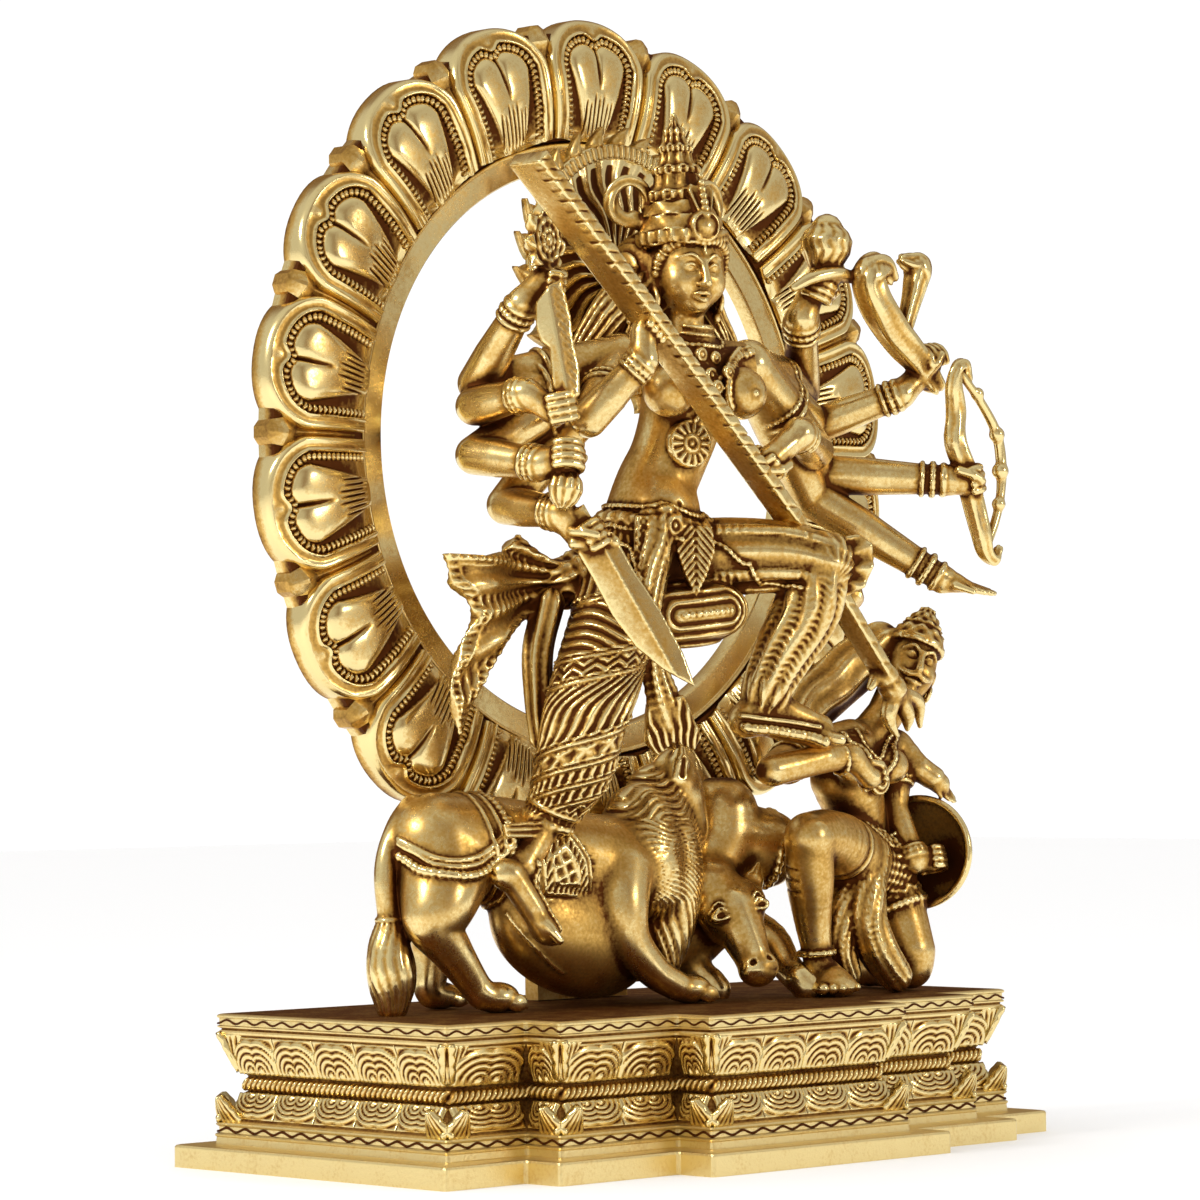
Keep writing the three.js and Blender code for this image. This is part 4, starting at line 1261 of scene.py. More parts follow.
def make_goddess_body():
    form = Form((-96, -74, 18), (64, -2, 214), settings("brass_figure").body_grain / MM)
    torso = curve([[-5.5, -27, 141, 16.2], [-5, -28, 152, 15.0], [-2.5, -28, 163, 13.0], [1, -30, 172, 12.4],
                   [4, -32, 182, 13.0], [5.5, -34, 193, 13.8]], 5)
    form.limb(torso, 2)
    form.limb([[-18, -31, 202.5, 7.5], [5, -35, 203, 8.5], [28.5, -38, 202.5, 7.5]], 4)
    form.ball((-5.5, -36, 154), (11, 7, 10), 5)
    form.ball((-7.5, -44.4, 157), (0.9, 1.6, 1.3), 0.4, cut=True)
    for centre in ((-11, -43, 192.5), (16, -48, 192.5)):
        form.ball(centre, 8.4, 1.6)
        form.ball(np.array(centre) + (-1.5, -8.2, -0.5), 1.1, 0.5)
    form.limb([[7, -37, 203, 7.2], [5, -38, 216, 6]], 2)
    form.ball((-12, -26, 140), (15, 14, 12), 4)
    form.ball((6, -27, 140), (13, 13, 12), 4)

    def woven(s, turn, x, y, z):
        """Flowing lines, zigzags, crossed squares and hatched bands, one below the other."""
        levels = (59, 66, 76, 90, 102, 120, 138)
        middle_x = np.interp(z, levels, (-50, -48.5, -47, -46.5, -41, -27, -14.5))
        middle_y = np.interp(z, levels, (-27.5, -31, -36, -40, -40, -33, -27))
        u = 12 * np.arctan2(x - middle_x, middle_y - y)
        v = np.interp(z, levels, (88, 80, 69, 55, 42, 20, 0)) + 0.3 * u
        saw = np.abs(np.mod(u / 5.2, 1) - 0.5)
        fills = (cycle(0.8 * v - 0.5 * u + 1.3 * np.sin(u * 0.35), 3.1), cycle(v + 5.2 * saw, 3.3),
                 cycle(0.6 * v + 0.8 * u + 1.7 * np.sin(v * 0.3), 3.2),
                 np.maximum(cycle(u + v, 7), cycle(u - v, 7)), cycle(u, 2.9))
        strips = ((-20, 8, 4), (8, 30, 0), (30, 39, 1), (39, 60, 2), (60, 68, 3), (68, 75, 4), (75, 82, 4),
                  (82, 99, 1))
        out = np.zeros(v.shape, np.float32)
        for start, end, kind in strips:
            out = np.where((v >= start + 1.5) & (v < end - 1.1), 0.55 * fills[kind], out)
            out = out + 0.7 * (crest(v - start, 0.55) + crest(v - start + 1.8, 0.5))
        return out
    leg = curve([[-14.5, -27, 138, 13], [-27, -33, 120, 13.2], [-41, -40, 102, 13.4], [-46.5, -40, 90, 12.8],
                 [-47, -36, 76, 12], [-48.5, -31, 66, 9.4], [-50, -27.5, 59.5, 7.6]], 5)
    form.limb(leg, 2, woven)
    girdle(form, (-48.5, -31, 66), (-51, -26, 55), 0.35, 8.4, 1.0)
    girdle(form, (-48.5, -31, 66), (-51, -26, 55), 0.68, 7.4, 1.7, 2.4)
    form.limb([[-50, -27, 61, 6.0], [-57, -28.5, 53, 5.4], [-64, -29.5, 45, 5.2]], 2)
    foot(form, (-72.5, -29.5, 43.5), (-56.5, -36.5, 21.5), (-0.75, 0.1, -0.6), 1.0)
    form.cord([[-62, -35, 46], [-58.5, -37, 40], [-55.5, -38.5, 33], [-53.5, -40, 26]], 1.1, 0.4, 2.0)
    form.leaf([(-3, -2), (8, -3.2), (20, -2.4), (21, 1.6), (9, 2.4), (-3, 2)], 2.6, (-53, -31, 56), (-1, -0.05, 0.02),
              UP, 0.8, lambda s, t: 0.3 * cycle(t, 2.0), soft=0.8)

    def rows(s, turn, x, y, z):
        row = turn * 9 / (2 * np.pi)
        beads = np.abs(np.sin(s * np.pi / 2.8)) * (np.mod(np.floor(row + 0.5), 2) < 1)
        return 0.6 * np.cos(turn * 9) + 0.7 * beads * (np.cos(turn * 9) > 0) - 0.2
    thigh = curve([[3, -29, 139, 13], [16, -40, 141, 12.2], [29, -52, 141, 11], [39, -60, 138.5, 9.6]], 6)
    form.limb(thigh, 2, rows)

    def feathers(s, turn, x, y, z):
        rib = np.mod(turn * 9 / (2 * np.pi), 1) - 0.5
        carved = 0.5 * cycle(rib, 1) + 0.24 * cycle(s + 3 * np.abs(rib), 2.3)
        return carved * np.clip(s / 6, 0.2, 1)
    shin = curve([[39, -60, 138, 9.6], [36, -57.5, 125, 10.4], [30, -54, 113, 9.4], [25, -50.5, 101, 7.8],
                  [24, -50, 98, 7.2]], 6)
    form.limb(shin, 1.5, feathers)
    form.limb([[24.5, -50, 101, 5.6], [21, -47, 91, 5.0]], 2)
    foot(form, (17.5, -45.5, 89), (47.5, -58.5, 83.6), (0, 0, -1), 1.2)
    form.limb([[24, -48, 97, 5.4], [32, -53, 91, 4.4], [42, -57.5, 87, 3.4]], 2)
    form.cord([[14, -50, 86.5], [22, -54, 85.2], [31, -58, 83.8], [39, -61, 82.8]], 1.9, 0.3, 1.9)
    form.cord([[13, -49, 90.5], [22, -53.5, 89.2], [31, -57, 88], [38, -60, 86.4]], 0.8)
    form.ball((41, -62, 139.5), (8, 7.5, 9), 2, relief=lambda x, y, z: 0.5 * np.cos(
        np.arctan2(z - 132, x - 36) * 22))
    fan = [(-3, -9), (2, -11), (8, -8), (11, -1), (10.5, 6), (6, 9), (0, 8), (-4, 2)]
    form.leaf(fan, 4.2, (45, -63, 139), (0.8, -0.6, 0), UP, 1.2,
              lambda s, t: 0.55 * np.cos(np.arctan2(t + 2, s + 9) * 17), soft=1.2)

    ends = np.array([(-13, -49, 121.5), (5, -53, 123.5)])

    def ovals(x, y, z):
        step = ends[1] - ends[0]
        t = clamp(((x - ends[0][0]) * step[0] + (z - ends[0][2]) * step[2]) / (step[0] ** 2 + step[2] ** 2))
        r = np.hypot(x - ends[0][0] - t * step[0], z - ends[0][2] - t * step[2])
        return 0.5 * cycle(r - 1.2, 3.0)
    way = unit(ends[1] - ends[0])
    out = unit(np.cross(way, UP))
    form.ball((-2.5, -43.5, 122.5), (20, 9.5, 10.5), 2.5, axes=(way, out, np.cross(out, way)), relief=ovals)
    form.cord([ends[0], ends.mean(0), ends[1]], 1.1, 0.3, 2.2)
    form.limb(curve([[-14, -41, 147, 7], [-19, -43, 136, 6], [-22, -44, 122, 5.4], [-21, -45, 106, 5.2],
                     [-17.5, -46, 94, 6.4], [-14, -46, 84, 4.2]], 5), 1.2,
              lambda s, turn, x, y, z: 0.45 * np.cos(turn * 8) + 0.2 * cycle(s, 2.6),
              squash=((0.2, -1, 0), 1.5))
    end_fan = [(-6, 8), (-9, -4), (-6, -9), (0, -6), (6, -10), (9, -6), (6, 8)]
    form.leaf(end_fan, 4.0, (-17, -47.5, 88), (0.85, -0.5, 0), (-0.25, 0, 1), 1.0,
              lambda s, t: 0.55 * np.cos(np.arctan2(s, t + 26) * 58 + 0.5 * np.sin(t * 0.8)), soft=1.0)
    wing = np.array([(-30, 132), (-42, 141), (-52, 147.5), (-60, 142), (-71, 140), (-86.5, 140.5), (-84, 131),
                     (-78, 126), (-75, 121), (-79, 114), (-84, 99), (-80, 84), (-70, 104), (-60, 116), (-42, 124),
                     (-32, 124)])

    def folds(s, t):
        edge = outline_distance(s, t, wing)
        border = 0.35 * crest(edge + 3.2, 0.5) + 0.25 * cycle(t, 2.2) * (edge > -2.6)
        ray = np.arctan2(t - 133, s + 24)
        ticks = 0.25 * cycle(s, 3.1) * (np.cos(ray * 17) > 0.2)
        return 0.8 * np.cos(ray * 34 + 0.02 * s) + border + ticks
    form.leaf(wing, 3.2, (0, -13, 0), (1, 0.1, 0), UP, 1.5, folds,
              bend=lambda s, t: 2.2 * np.sin(s * 0.16 + t * 0.05), soft=1.2)
    form.limb([[-20, -22, 139, 9], [-34, -19, 134, 6.5]], 3,
              lambda s, turn, x, y, z: 0.4 * np.cos(turn * 9) + 0.4 * cycle(s, 4))
    form.limb(curve([[-42, -20, 126, 4.5], [-46, -19, 112, 4.6], [-49, -22, 98, 4.2], [-50, -24, 84, 3.4]], 5), 1.5,
              lambda s, turn, x, y, z: 0.5 * np.cos(turn * 6 + s * 0.1))
    apron = [(-5.5, 4), (-6.4, -4), (-3.6, -12), (0, -19), (3.6, -12), (6.4, -4), (5.5, 4)]
    veins = lambda s, t: 0.35 * cycle(t + 1.2 * np.abs(s), 2.6) - 0.5 * crest(s, 0.5)
    form.leaf(apron, 3.4, (-5, -47.5, 146), (0.85, -0.5, 0), (0.1, 0.1, 1), 0.8, veins, soft=0.9)
    panel = [(-5, 5), (-5.5, -9), (-3, -15), (3, -16), (6, -9), (5, 5)]
    checks = lambda s, t: 0.3 * cycle(s, 2.4) * cycle(t, 2.8) + 0.45 * crest(np.abs(s) - 4.0, 0.5)
    form.leaf(panel, 3.4, (-18.5, -41.5, 148), (0.8, -0.6, 0), (0.1, 0.1, 1), 0.8, checks, soft=0.9)

    hips = hoop((-3, -28.5, 150.5), (1, -0.1, -0.12), (0.1, 1, 0.05), (15.6, 14.6), 40, 2.4)
    form.limb(form.settle(hips, 0.3), 0.5,
              lambda s, turn, x, y, z: 0.5 * cycle(s, 4.6) * np.cos(turn * 2))
    for height, reach in ((154.3, 14.4), (146.4, 16.2)):
        ring = hoop((-3, -28.5, height), (1, -0.1, -0.12), (0.1, 1, 0.05), (reach, reach - 1), 48, 0.95)
        form.limb(form.settle(ring, 0.5), 0.2, beads(0.35, 1.9))
    form.ball((-12, -43.5, 150), (5.2, 3, 5.2), 0.6,
              relief=lambda x, y, z: 0.4 * cycle(np.hypot(x + 12, z - 150), 2.6))
    form.cord([[2, -44, 149], [10, -50, 141], [21, -53, 134], [30, -60, 130]], 0.9, 0.4, 2.0)
    form.cord([[-26, -36, 146], [-24, -44, 132], [-27, -48, 118]], 0.9, 0.4, 2.0)
    for height, reach, radius, pitch in ((214.0, 6.9, 0.45, None), (211.6, 7.3, 0.45, None), (208.6, 8.7, 0.9, 1.9)):
        ring = hoop((6.5, -37.5, height), (1, 0, 0), (0, 1, 0.12), (reach, reach), 34, radius)
        form.limb(form.settle(ring, 0.1), 0.3, beads(0.4, pitch))
    form.cord([[-9, -38, 207], [-5, -45, 201], [2, -49.5, 194.5], [8, -49, 199], [19, -44, 206]], 1.0, 0.4, 2.1)
    form.cord([[-14, -36, 208], [-10, -45, 203], [-2.5, -49, 193], [1.5, -48, 186]], 0.9, 0.4, 2.0)
    form.cord([[26, -44, 207], [17, -47, 204], [9.5, -50, 199], [6.5, -51, 192], [7.5, -51, 186]], 1.5, 0.2, 1.9)
    form.cord([[24, -44, 209], [15, -46, 206.5], [7, -49, 201], [4.5, -50, 194]], 0.8)
    for x, y, z, r in ((1.5, -46, 205, 2.4), (-4.5, -44, 203, 2.1), (7.5, -47, 204, 2.1), (2.5, -49.5, 199, 2.6),
                       (-3, -47.5, 197, 2.2), (8.5, -50, 198.5, 2.2), (3.5, -50, 193, 2.4)):
        medallion(form, (x, y, z), 0.25, (r, 1.3, r), 0.25, 0.35, 2.0)
    medal = form.settle([[-4.3, -47, 175.5, 1]], 0.1)[0, :3]
    look = unit((-0.25, -1, 0.05))
    side = unit(np.cross(look, UP))

    def rosette(x, y, z):
        a = (x - medal[0]) * side[0] + (y - medal[1]) * side[1]
        r, turn = np.hypot(a, z - medal[2]), np.arctan2(z - medal[2], a)
        petals = np.where((r > 3.6) & (r < 6.6), 0.5 * np.cos(turn * 14), 0.4 * cycle(r, 2.4))
        return petals - 1.2 * (r > 7.6)
    form.ball(medal, (8.4, 2.6, 8.4), 0.3, axes=(side, look, np.cross(side, look)), relief=rosette)
    form.cord([[3, -50, 187], [-2, -47, 184]], 0.9, 0.3, 1.9)
    body = form_object("goddess_body", form, 172000)
    wipe(body, (2, -40, 168), np.eye(3), (-22, -30, -12), (22, 10, 18), 0.75, 0.14)
    finish(body, "durga", CHASED)


def wipe(piece, centre, axes, low, high, share, shine=0.0):
    """Lessens the patina inside a box about a centre, as on a face that was buffed by hand."""
    local = (points_of(piece.data) - (0, 0, DECK) - centre) @ np.asarray(axes).T
    inside = ((local > low) & (local < high)).all(axis=1)
    recess = recess_of(piece.data)
    recess[inside] = recess[inside] * share - shine
    set_recess(piece.data, recess)


FACE_WAY = (-0.27, -0.955, -0.06)
HEAD = (3.0, -37.5, 231.5)


def make_goddess_head():
    form = Form((-40, -60, 200), (42, -2, 285), settings("brass_figure").head_grain / MM)
    axes = axes_of(FACE_WAY)
    centre = np.array(HEAD)
    spot = spotter(centre, axes)
    form.limb([spot(0, -2.5, -10, 6.6), spot(0.5, -1.5, -20, 6.2)], 1.5)
    form.ball(spot(0, -0.8, 2.2), (12.0, 11.8, 12.4), 2, axes)
    form.ball(spot(0, 1.6, -4.6), (10.5, 8.8, 9.0), 3.5, axes)
    form.ball(spot(0, 6.4, -10.6), (3.4, 3.2, 2.8), 3, axes)
    for side in (-1, 1):
        form.ball(spot(side * 5.6, 5.8, -4.0), 4.2, 3, axes)
        form.ball(spot(side * 4.1, 11.0, 0.6), (3.2, 2.0, 2.1), 1.2, axes, cut=True)
        form.ball(spot(side * 4.0, 8.1, 0.4), (2.9, 2.1, 1.7), 0.3, axes)
        brow = curve([spot(side * 1.3, 11.0, 3.0, 0.55), spot(side * 4.2, 10.5, 4.7, 0.6),
                      spot(side * 7.8, 8.0, 3.6, 0.35)], 5)
        form.limb(brow, 0.6)
        upper = curve([spot(side * 1.5, 9.7, 0.0, 0.35), spot(side * 4.1, 10.4, 1.75, 0.5),
                       spot(side * 7.0, 8.3, 0.5, 0.35)], 5)
        form.limb(upper, 0.3)
        lower = curve([spot(side * 1.6, 9.6, -0.2, 0.3), spot(side * 4.1, 10.0, -1.3, 0.38),
                       spot(side * 6.9, 8.3, 0.1, 0.3)], 5)
        form.limb(lower, 0.3)
        form.ball(spot(side * 12.0, -1.2, -1.5), (1.6, 2.8, 4.6), 0.8, axes)
        form.limb(hoop(spot(side * 11.6, -0.6, -9.5), axes[1], axes[2], (2.9, 3.3), 20, 0.95), 0.3)
        form.ball(spot(side * 11.7, -0.6, -9.5), (1.2, 1.6, 1.9), 0.3, axes)
        form.ball(spot(side * 11.5, -0.6, -14.4), (1.3, 1.5, 2.0), 0.4, axes)
        form.limb([spot(side * 1.2, 12.3, -4.7, 0.85), spot(side * 2.0, 11.2, -4.6, 0.7)], 0.7)
        form.limb(curve([spot(side * 4.5, 9.6, 9.0, 1.2), spot(side * 9.6, 6.2, 7.4, 1.5),
                         spot(side * 11.6, 2.8, 2.8, 1.6), spot(side * 11.8, 1.4, -2.5, 1.1)], 5), 0.4,
                  ripples(0.4, 1.9))
    form.limb([spot(0, 10.5, 3.2, 0.9), spot(0, 12.2, -1, 1.15), spot(0, 13.4, -4.2, 1.45)], 1.5)
    form.limb(curve([spot(-3.1, 9.9, -8.0, 0.5), spot(-1.2, 11.3, -7.3, 0.8), spot(1.2, 11.3, -7.3, 0.8),
                     spot(3.1, 9.9, -8.0, 0.5)], 4), 0.7)
    form.limb(curve([spot(-2.6, 9.8, -8.7, 0.5), spot(0, 11.0, -9.5, 1.0), spot(2.6, 9.8, -8.7, 0.5)], 4), 0.7)
    form.limb(curve([spot(-3.4, 10.2, -8.1, 0.22), spot(0, 12.3, -8.35, 0.26), spot(3.4, 10.2, -8.1, 0.22)], 4), 0.2,
              cut=True)
    form.limb([spot(0, 12.0, 5.0, 0.5), spot(0, 11.4, 7.2, 0.5)], 0.3)

    form.ball((1, -23, 228), (14.5, 14, 17), 3, relief=lambda x, y, z: 0.55 * cycle(x + 2.0 * np.sin(z * 0.18), 2.7))
    for path in ([[-12, -27, 226, 6.5], [-20, -26, 218, 6], [-27, -23, 208, 4.5], [-31, -22, 203, 2.5]],
                 [[-10, -30, 218, 5], [-14, -31, 210, 4.5], [-16, -31, 204, 3]],
                 [[17, -27, 228, 6.5], [23, -27, 218, 6], [29, -28, 209, 5], [33, -29, 203, 2.5]],
                 [[15, -31, 220, 4.6], [20, -33, 212, 4], [22, -34, 205, 2.6]]):
        form.limb(curve(path, 4), 1.2, flutes(0.5, 12, 0.5, 0.4))

    crown_foot = np.array((1.5, -36.0, 237.0))
    tiers = [(0, 0), (13.0, 2), (13.8, 4), (13.7, 6), (12.8, 7.2), (12.0, 10), (11.4, 13), (10.6, 15.4), (9.4, 16.2),
             (9.6, 17.2), (9.9, 18.4), (9.5, 19.4), (8.2, 20.0), (7.4, 21.4), (7.0, 24.6), (7.5, 25.4), (7.7, 26.4),
             (7.1, 27.4), (5.6, 28.2), (5.0, 30), (4.8, 31.8), (5.4, 32.5), (5.5, 33.6), (4.6, 34.5), (3.4, 35.2),
             (3.0, 37.4), (3.4, 38.2), (3.2, 39.4), (1.6, 40.4), (1.2, 42.4), (0.7, 44.2), (0, 45)]

    def chased(h, turn, r):
        beaded = sum((h > low) & (h < high) for low, high in ((2.4, 6.4), (16.4, 19.2), (25, 27.2), (32, 34)))
        scales = np.cos(turn * 7 + np.pi * (h > 11.4)) * np.cos(np.pi * (h - 7) / 4.4)
        plumes = np.where(h < 16, 0.55 * scales, 0.4 * np.cos(turn * 9))
        return np.where(beaded, 0.4 * np.cos(turn * 20), plumes)
    form.turned(crown_foot, tiers, 0.3, (-0.02, 0.03, 1), chased)
    front = centre + axes[1] * 10.4 + axes[2] * 13.6
    form.ball(front, (5.0, 2.8, 5.0), 0.5, axes, relief=lambda x, y, z: 0.5 * cycle(
        np.sqrt((x - front[0]) ** 2 + (y - front[1]) ** 2 + (z - front[2]) ** 2), 2.5))
    plume = [(-2.2, 0), (-4.6, 8), (-3.4, 10.5), (-1.6, 9.6), (0, 12), (1.6, 9.6), (3.4, 10.5), (4.6, 8), (2.2, 0)]
    form.leaf(plume, 3.6, spot(0, 9.4, 17), axes[0], unit(axes[2] - 0.34 * axes[1]), 0.8,
              lambda s, t: 0.5 * np.cos(np.arctan2(s, t + 3) * 13), soft=0.8)
    form.limb(curve([spot(0, 11.2, 17, 1.4), spot(0, 10.0, 21, 1.3), spot(0, 8.8, 25, 1.1),
                     spot(0, 7.4, 30, 0.7)], 4), 0.5, ripples(0.3, 2.2))
    band = hoop(centre + axes[2] * 8.4 - axes[1] * 2.0, axes[0], unit(axes[1] + 0.1 * axes[2]), (13.2, 13.0), 48, 1.2)
    away = np.abs(np.linspace(0, 2 * np.pi, len(band)) - np.pi / 2)
    dip = np.interp(np.minimum(away, 2 * np.pi - away), (0, 0.3, 0.75, 1.3, 2.2, 3.2),
                    (-1.3, -0.6, 0.9, -0.2, -2.6, -3.2))
    band[:, :3] += dip[:, None] * axes[2]
    form.limb(band, 0.3, beads(0.45, 1.9))
    band[:, :3] += 2.0 * axes[2]
    form.limb(band, 0.8)
    for side, aside, forward in ((-1, -16.2, -9.5), (1, 13.2, -11.5)):
        out = unit(0.88 * side * axes[0] - 0.48 * axes[1])
        curl = hoop(spot(aside, forward, 22.0), out, axes[2], (5.7, 6.3), 32, start=-1.9, turn=5.4)
        curl[:, 3] = np.linspace(2.7, 1.5, len(curl))
        form.limb(curl, 0.4, flutes(0.3, 4))
        form.limb(curve([spot(side * 9.5, -4, 14.0, 2.6), spot(side * 12.0, -6.5, 14.4, 2.7),
                         spot(side * 14.8, -8.8, 16.0, 2.7)], 4), 1)
    head = form_object("goddess_head", form, 110000)
    wipe(head, centre, axes, (-10, 1.5, -24), (10, 30, 7), 0.4, 0.16)
    finish(head, "durga", CHASED)


def make_nimbus():
    """The ribbed arch of flames behind the goddess's head."""
    middle = np.array((2, -8, 234 + DECK))
    # Radius and how far behind the middle each edge of the band's section lies
    section = [(40.5, 0), (40.5, 2.0), (39.4, 2.6), (36.6, 2.6), (35.6, 2.0), (35.4, 0), (36, -0.6), (40, -0.6)]
    arch = ring_object("nimbus_band", [(r, middle[1] + 1 - y) for r, y in section], middle, 120)
    finish(arch, "durga", CHASED)
    rib = loft_object("rib_source", [[(-0.75, 0.8, z), (-0.45, -0.5, z), (0.45, -0.5, z), (0.75, 0.8, z)]
                                     for z in (35.9, 36.6, 39.6, 40.2)], np.full(16, -0.2))
    # Radius, half the width and the sideways lean of a flame, from its foot to its tip
    shape = [(40.0, 4.4, 0), (41.4, 4.0, 0.2), (43.2, 2.8, 0.9), (44.8, 1.5, 2.1), (46.2, 0.4, 3.6)]
    rings = [[(shift - half, 1.5, z), (shift - half * 0.3, -1.3 + 0.2 * shift, z), (shift + half * 0.3, -1.3, z),
              (shift + half, 1.5, z)] for z, half, shift in shape]
    flame = loft_object("flame_source", rings, np.full(20, -0.1))
    for name, source, count, ahead in (("nimbus_ribs", rib, 96, 1.7), ("nimbus_flames", flame, 26, 0.4)):
        places = [(middle[0], middle[1] - ahead, middle[2], 0, 2 * math.pi * i / count, 0, 1, 1, 1)
                  for i in range(count)]
        scattered(name, source, places, "durga", CHASED)
    count = 168
    turn = -np.arange(count) * 2 * np.pi / count
    front = [turned_ring(middle, r, middle[1] - 0.6 - 0.55 * np.cos(turn * 28 + 1.6 * np.sin(r * 0.28)), count)
             for r in np.linspace(2, 36.4, 14)]
    back = [turned_ring(middle, r, middle[1] + 1.0, count) for r in (36.4, 2)]
    web = loft_object("nimbus_web", front + back, flip=True)
    set_recess(web.data, recess_of(web.data) + 0.3)
    finish(creased(web, 60), "durga", CHASED)


# Trident

PRONGS = np.array((87.0, -48.5, 98.0))
BUTT = np.array((-88.0, -61.0, 257.0))


def make_trident():
    form = Form((-92, -70, 80), (108, -40, 262), settings("brass_figure").body_grain / MM)
    spine = [PRONGS, np.array((31.7, -53.5, 153.5)), np.array((-32, -58, 209.5)), BUTT]
    for a, b in zip(spine, spine[1:]):
        way = unit(b - a)
        up = unit(np.array((0, 0, 1.0)) - way[2] * way)
        side = np.cross(way, up)
        long = float(np.linalg.norm(b - a)) + 0.6

        def shape(x, y, z, a=a, way=way, up=up, side=side, long=long):
            """A flat bar, deeper towards its butt, with slanting cuts in its front edge."""
            d = [x - a[0], y - a[1], z - a[2]]
            t, s, w = (dot(d, e) for e in (way, up, side))
            share = (x - PRONGS[0]) / (BUTT[0] - PRONGS[0])
            across, deep = np.abs(s) - 1.4 - 0.5 * share, np.abs(w) - 3.2 - 2.9 * share
            bar = np.hypot(np.maximum(across, 0), np.maximum(deep, 0)) - 0.6
            bar = bar + np.minimum(np.maximum(across, deep), 0)
            pitch = np.where(share > 0.4, 4.4, 8.8)
            cut = crest(np.mod(t + 1.0 * s, pitch) - pitch / 2, 0.34)
            return np.maximum(bar + 0.5 * cut * (w * np.sign(side[1]) < -2.4), np.abs(t - long / 2) - long / 2)
        c, d, x, y, z = form.window(np.minimum(a, b) - 9, np.maximum(a, b) + 9)
        form.merge(c, d, shape(x, y, z).astype(np.float32), 0.6)
    way = unit(spine[0] - spine[1])
    form.ball(PRONGS - way * 2, (4.6, 4.4, 4.6), 1.5)
    form.limb([[*(PRONGS - way * 7), 4.4], [*(PRONGS - way * 4), 3.0]], 1)
    for tip, bow in (((88, -48, 84), (84, -48, 90)), ((94.5, -47, 86), (93, -48, 91)),
                     ((103, -45, 87), (99, -47, 95))):
        form.limb(curve([[*PRONGS, 3.0], [*bow, 2.7], [*tip, 0.9]], 5), 1)
    form.limb(curve([[*(PRONGS - way * 8), 3], [79, -48, 103, 2.4], [75.5, -48, 99.5, 1.2]], 4), 1)
    trident = form_object("trident_shaft", form, 24000)
    finish(trident, "trident", CHASED)


# Lion, buffalo and demon

def paw(form, centre, way, size):
    """A round paw parted into four toes, each with a small claw."""
    way = unit((way[0], way[1], 0))
    side = np.array((-way[1], way[0], 0))
    centre = np.array(centre, float)
    form.ball(centre, (6.4 * size, 5.0 * size, 4.2 * size), 1.5, axes=(way, side, UP))
    for i in range(4):
        k = i - 1.5
        toe = centre + way * (4.9 - 0.6 * abs(k)) * size + side * k * 2.5 * size - (0, 0, 1.4 * size)
        form.ball(toe, (3.2 * size, 1.5 * size, 2.5 * size), 0.25, axes=(way, side, UP))
        form.ball(toe + way * 2.9 * size - (0, 0, 1.1 * size), 0.7 * size, 0.2)


